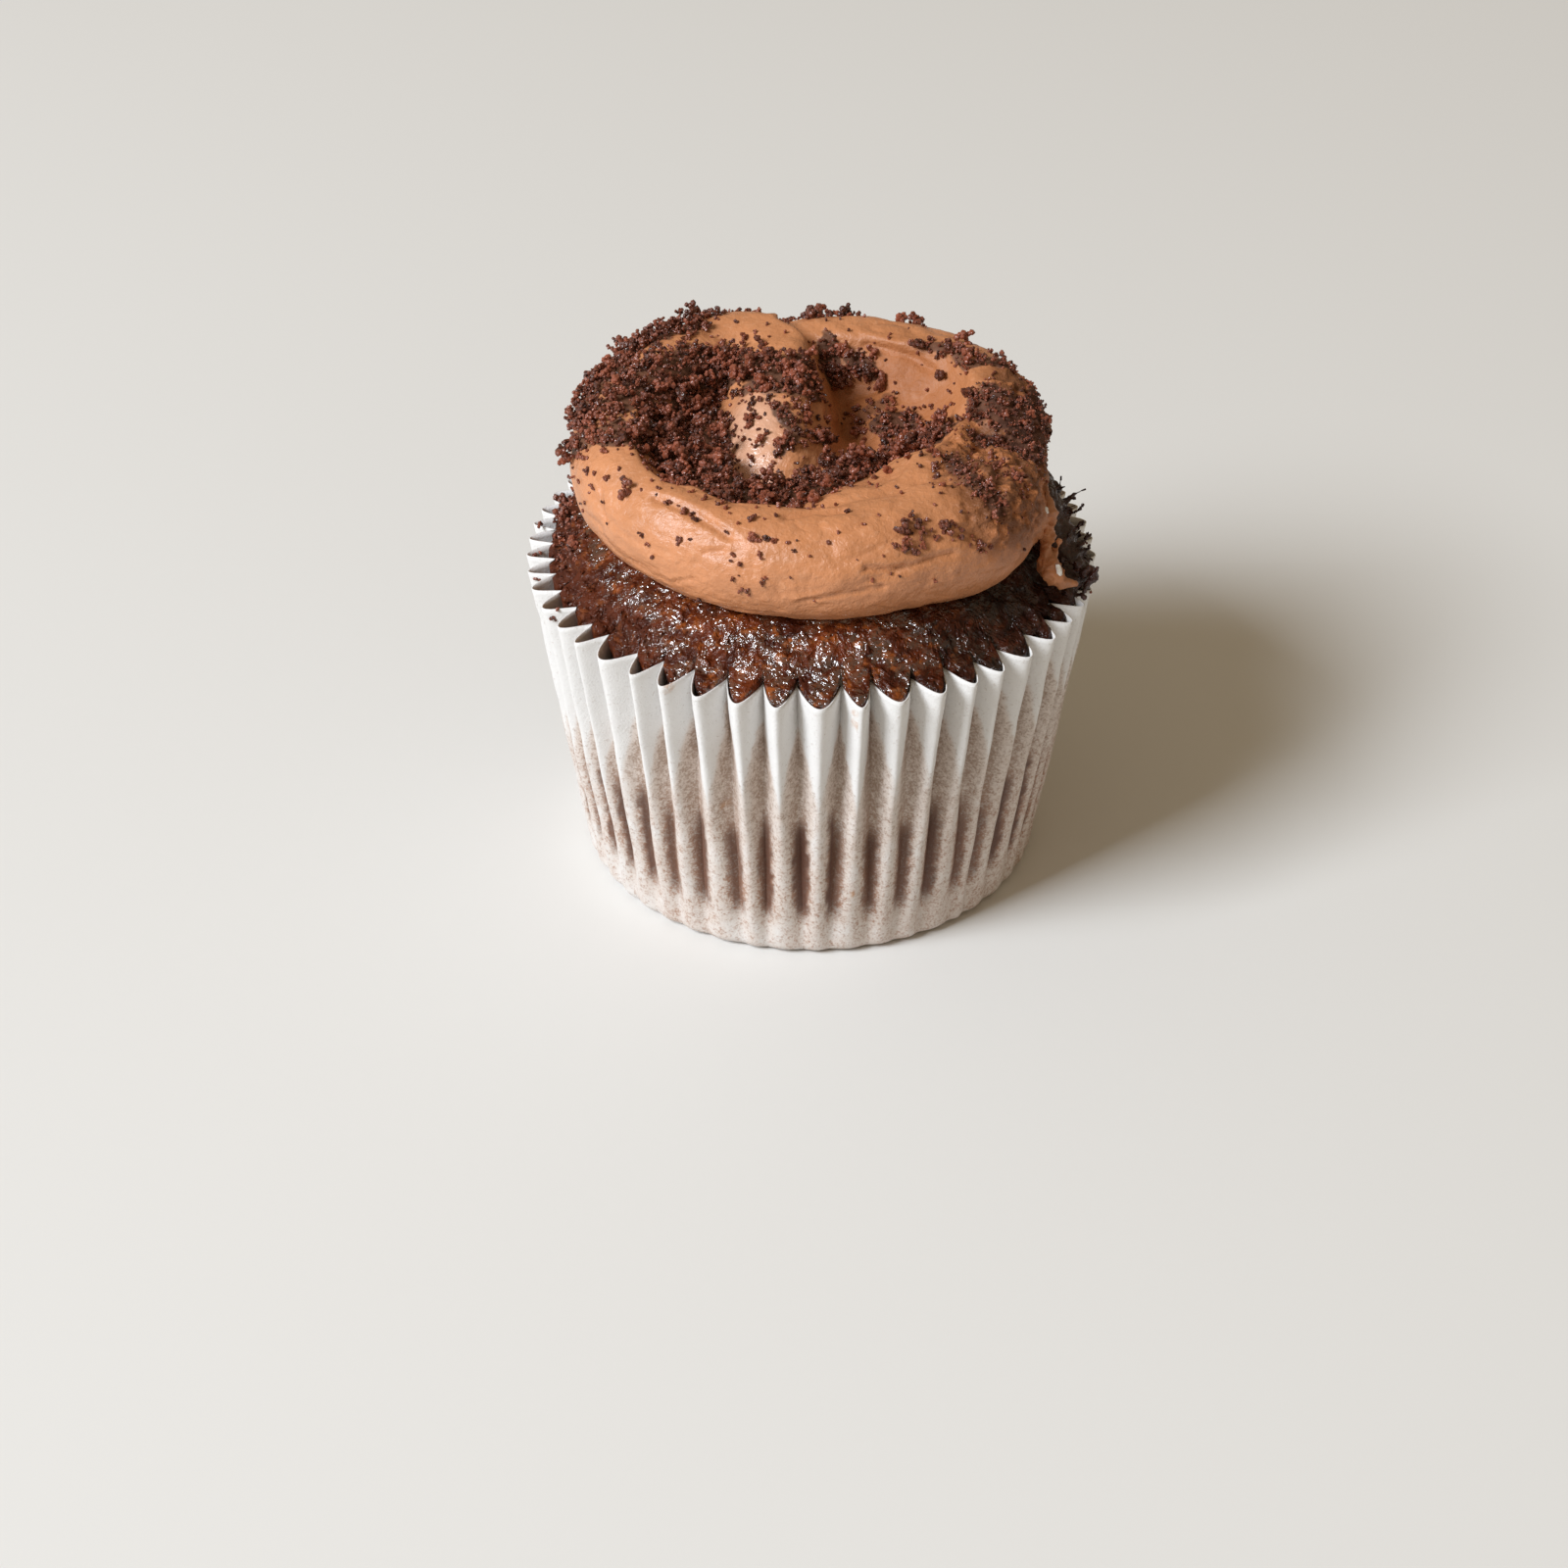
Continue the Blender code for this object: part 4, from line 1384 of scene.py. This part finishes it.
def flake_mesh(x, y, height, length, width, lean):
    """A thin, slightly bent flake that faces the front."""
    steps = 6
    points = []
    turn = math.radians(lean)
    for row in range(steps + 1):
        share = row / steps
        half = 0.5 * width * math.sin(math.pi * (0.12 + 0.76 * share)) ** 0.5
        along = (share - 0.5) * length
        bulge = 0.10 * math.cos(math.pi * (share - 0.5))
        for side, out in ((-1, 0.0), (0, bulge), (1, 0.0)):
            across = half * side * (1 + 0.15 * math.sin(9.0 * share + side))
            points.append((
                x + across * math.cos(turn) - along * math.sin(turn), y - out,
                height + across * math.sin(turn) + along * math.cos(turn),
            ))
    faces = []
    for row in range(steps):
        for column in (0, 1):
            corner = row * 3 + column
            faces.append((corner, corner + 1, corner + 4, corner + 3))
    mesh = bpy.data.meshes.new("flake")
    mesh.from_pydata((np.array(points) * MM).tolist(), [], faces)
    mesh.update()
    return mesh


def flake_material():
    """Dry, off-white flake"""
    nodes = Nodes("pale_flake")
    grain = nodes.noise(0.0004, detail=3.0)
    colour = nodes.mix(nodes.spread(grain, 0.35, 0.65), (0.66, 0.58, 0.49), (0.84, 0.81, 0.77))
    return nodes.finish(colour, nodes.spread(grain, 0.3, 0.7, 0.35, 0.6), nodes.bump(grain, 0.0001))


class CUPCAKE_OT_shreds(bpy.types.Operator):
    """Adds the shreds of cake and the pale flakes on the torn right side"""

    bl_idname = "cupcake.shreds"
    bl_label = "Shreds"

    def execute(self, context):
        draw = np.random.default_rng(context.scene.cupcake_crumbs.seed)
        strands = [strand_mesh(shred_stations(draw), 8) for _ in range(SHRED_COUNT)]
        shreds = one_skin(joined([strand_mesh(SHRED_BANK, 24), *strands], "shreds"), 0.00018, 1)
        shreds.name = "cake_shreds"
        points = coordinates(shreds)
        rough = rough_waves(points, 0.0024, 4, 5.0) * 0.00070
        place_vertices(shreds, points + directions(shreds) * rough[:, None])
        # Nearly the dark, shaded copy of the crumb colour: painted shade, as the shreds stand in the
        # buttercream's shadow.
        store(shreds, "tint", -0.30 + 0.35 * waves(points, 0.0015, 6.0))
        add_piece("cake_shreds", shreds, crumb_material(context.scene.cupcake_crumbs), "cake")
        flakes = joined([flake_mesh(*flake) for flake in FLAKES], "pale_flakes")
        piece = add_piece("pale_flakes", flakes, flake_material(), "cake")
        piece.modifiers.new("thickness", "SOLIDIFY").thickness = 0.00012
        return {"FINISHED"}


# ---------------------------------------------------------------- stage


def soft_light(name, direction, distance, size, power, colour):
    """A square soft light that looks at the cupcake from this direction."""
    target = Vector((0, 0, 0.025))
    lamp = bpy.data.lights.new(name, "AREA")
    lamp.size = size
    lamp.energy = power
    lamp.color = colour
    holder = link(name, lamp)
    holder.location = target + Vector(direction).normalized() * distance
    holder.rotation_euler = (target - holder.location).to_track_quat("-Z", "Y").to_euler()
    return holder


class CUPCAKE_OT_stage(bpy.types.Operator):
    """Makes the floor, the lights and the camera"""

    bl_idname = "cupcake.stage"
    bl_label = "Stage"

    def execute(self, context):
        scene = context.scene
        stage = scene.cupcake_stage
        slab = bmesh.new()
        bmesh.ops.create_grid(slab, x_segments=1, y_segments=1, size=3.0)
        mesh = bpy.data.meshes.new("floor")
        slab.to_mesh(mesh)
        slab.free()
        floor = link("floor", mesh)
        nodes = Nodes("pale_floor")
        nodes.set(Base_Color=(*stage.floor, 1.0), Roughness=0.6, Specular_IOR_Level=0.2)
        mesh.materials.append(nodes.material)
        soft_light("key", (-0.63, -0.41, 0.64), 1.7, 0.68, stage.key_strength, (0.87, 0.93, 1.0))
        world = bpy.data.worlds.new("studio")
        world.use_nodes = True
        background = world.node_tree.nodes["Background"]
        background.inputs["Color"].default_value = (1.0, 0.80, 0.54, 1.0)
        background.inputs["Strength"].default_value = stage.sky_strength
        scene.world = world
        camera = bpy.data.cameras.new("camera")
        camera.sensor_width = 36
        camera.lens = stage.lens
        camera.clip_start = 0.01
        holder = link("camera", camera)
        holder.location = (-0.0030, -0.3113, 0.2293)
        holder.rotation_euler = (math.radians(54.2), 0, 0)
        scene.camera = holder
        scene.view_settings.view_transform = "Standard"
        return {"FINISHED"}


# ---------------------------------------------------------------- panel

OPERATORS = (
    CUPCAKE_OT_paper_case,
    CUPCAKE_OT_cake,
    CUPCAKE_OT_buttercream,
    CUPCAKE_OT_crumbs,
    CUPCAKE_OT_shreds,
    CUPCAKE_OT_stage,
)
SETTINGS = {
    "cupcake_case": CaseSettings,
    "cupcake_cake": CakeSettings,
    "cupcake_swirl": SwirlSettings,
    "cupcake_crumbs": CrumbSettings,
    "cupcake_stage": StageSettings,
}


class CUPCAKE_PT_pieces(bpy.types.Panel):
    """Lists the cupcake's pieces and their settings"""

    bl_idname = "CUPCAKE_PT_pieces"
    bl_label = "Cupcake"
    bl_space_type = "VIEW_3D"
    bl_region_type = "UI"
    bl_category = "Cupcake"

    def draw(self, context):
        column = self.layout.column(align=True)
        for operator in OPERATORS:
            column.operator(operator.bl_idname)
        for name, group in SETTINGS.items():
            box = self.layout.box()
            box.label(text=group.__doc__)
            for key in group.__annotations__:
                box.prop(getattr(context.scene, name), key)


def register():
    for group in SETTINGS.values():
        bpy.utils.register_class(group)
    for name, group in SETTINGS.items():
        setattr(bpy.types.Scene, name, PointerProperty(type=group))
    for operator in OPERATORS:
        bpy.utils.register_class(operator)
    bpy.utils.register_class(CUPCAKE_PT_pieces)


def unregister():
    bpy.utils.unregister_class(CUPCAKE_PT_pieces)
    for operator in reversed(OPERATORS):
        bpy.utils.unregister_class(operator)
    for name in SETTINGS:
        delattr(bpy.types.Scene, name)
    for group in SETTINGS.values():
        bpy.utils.unregister_class(group)


def main():
    register()
    for operator in OPERATORS:
        family, name = operator.bl_idname.split(".")
        getattr(getattr(bpy.ops, family), name)()


if __name__ == "__main__":
    main()
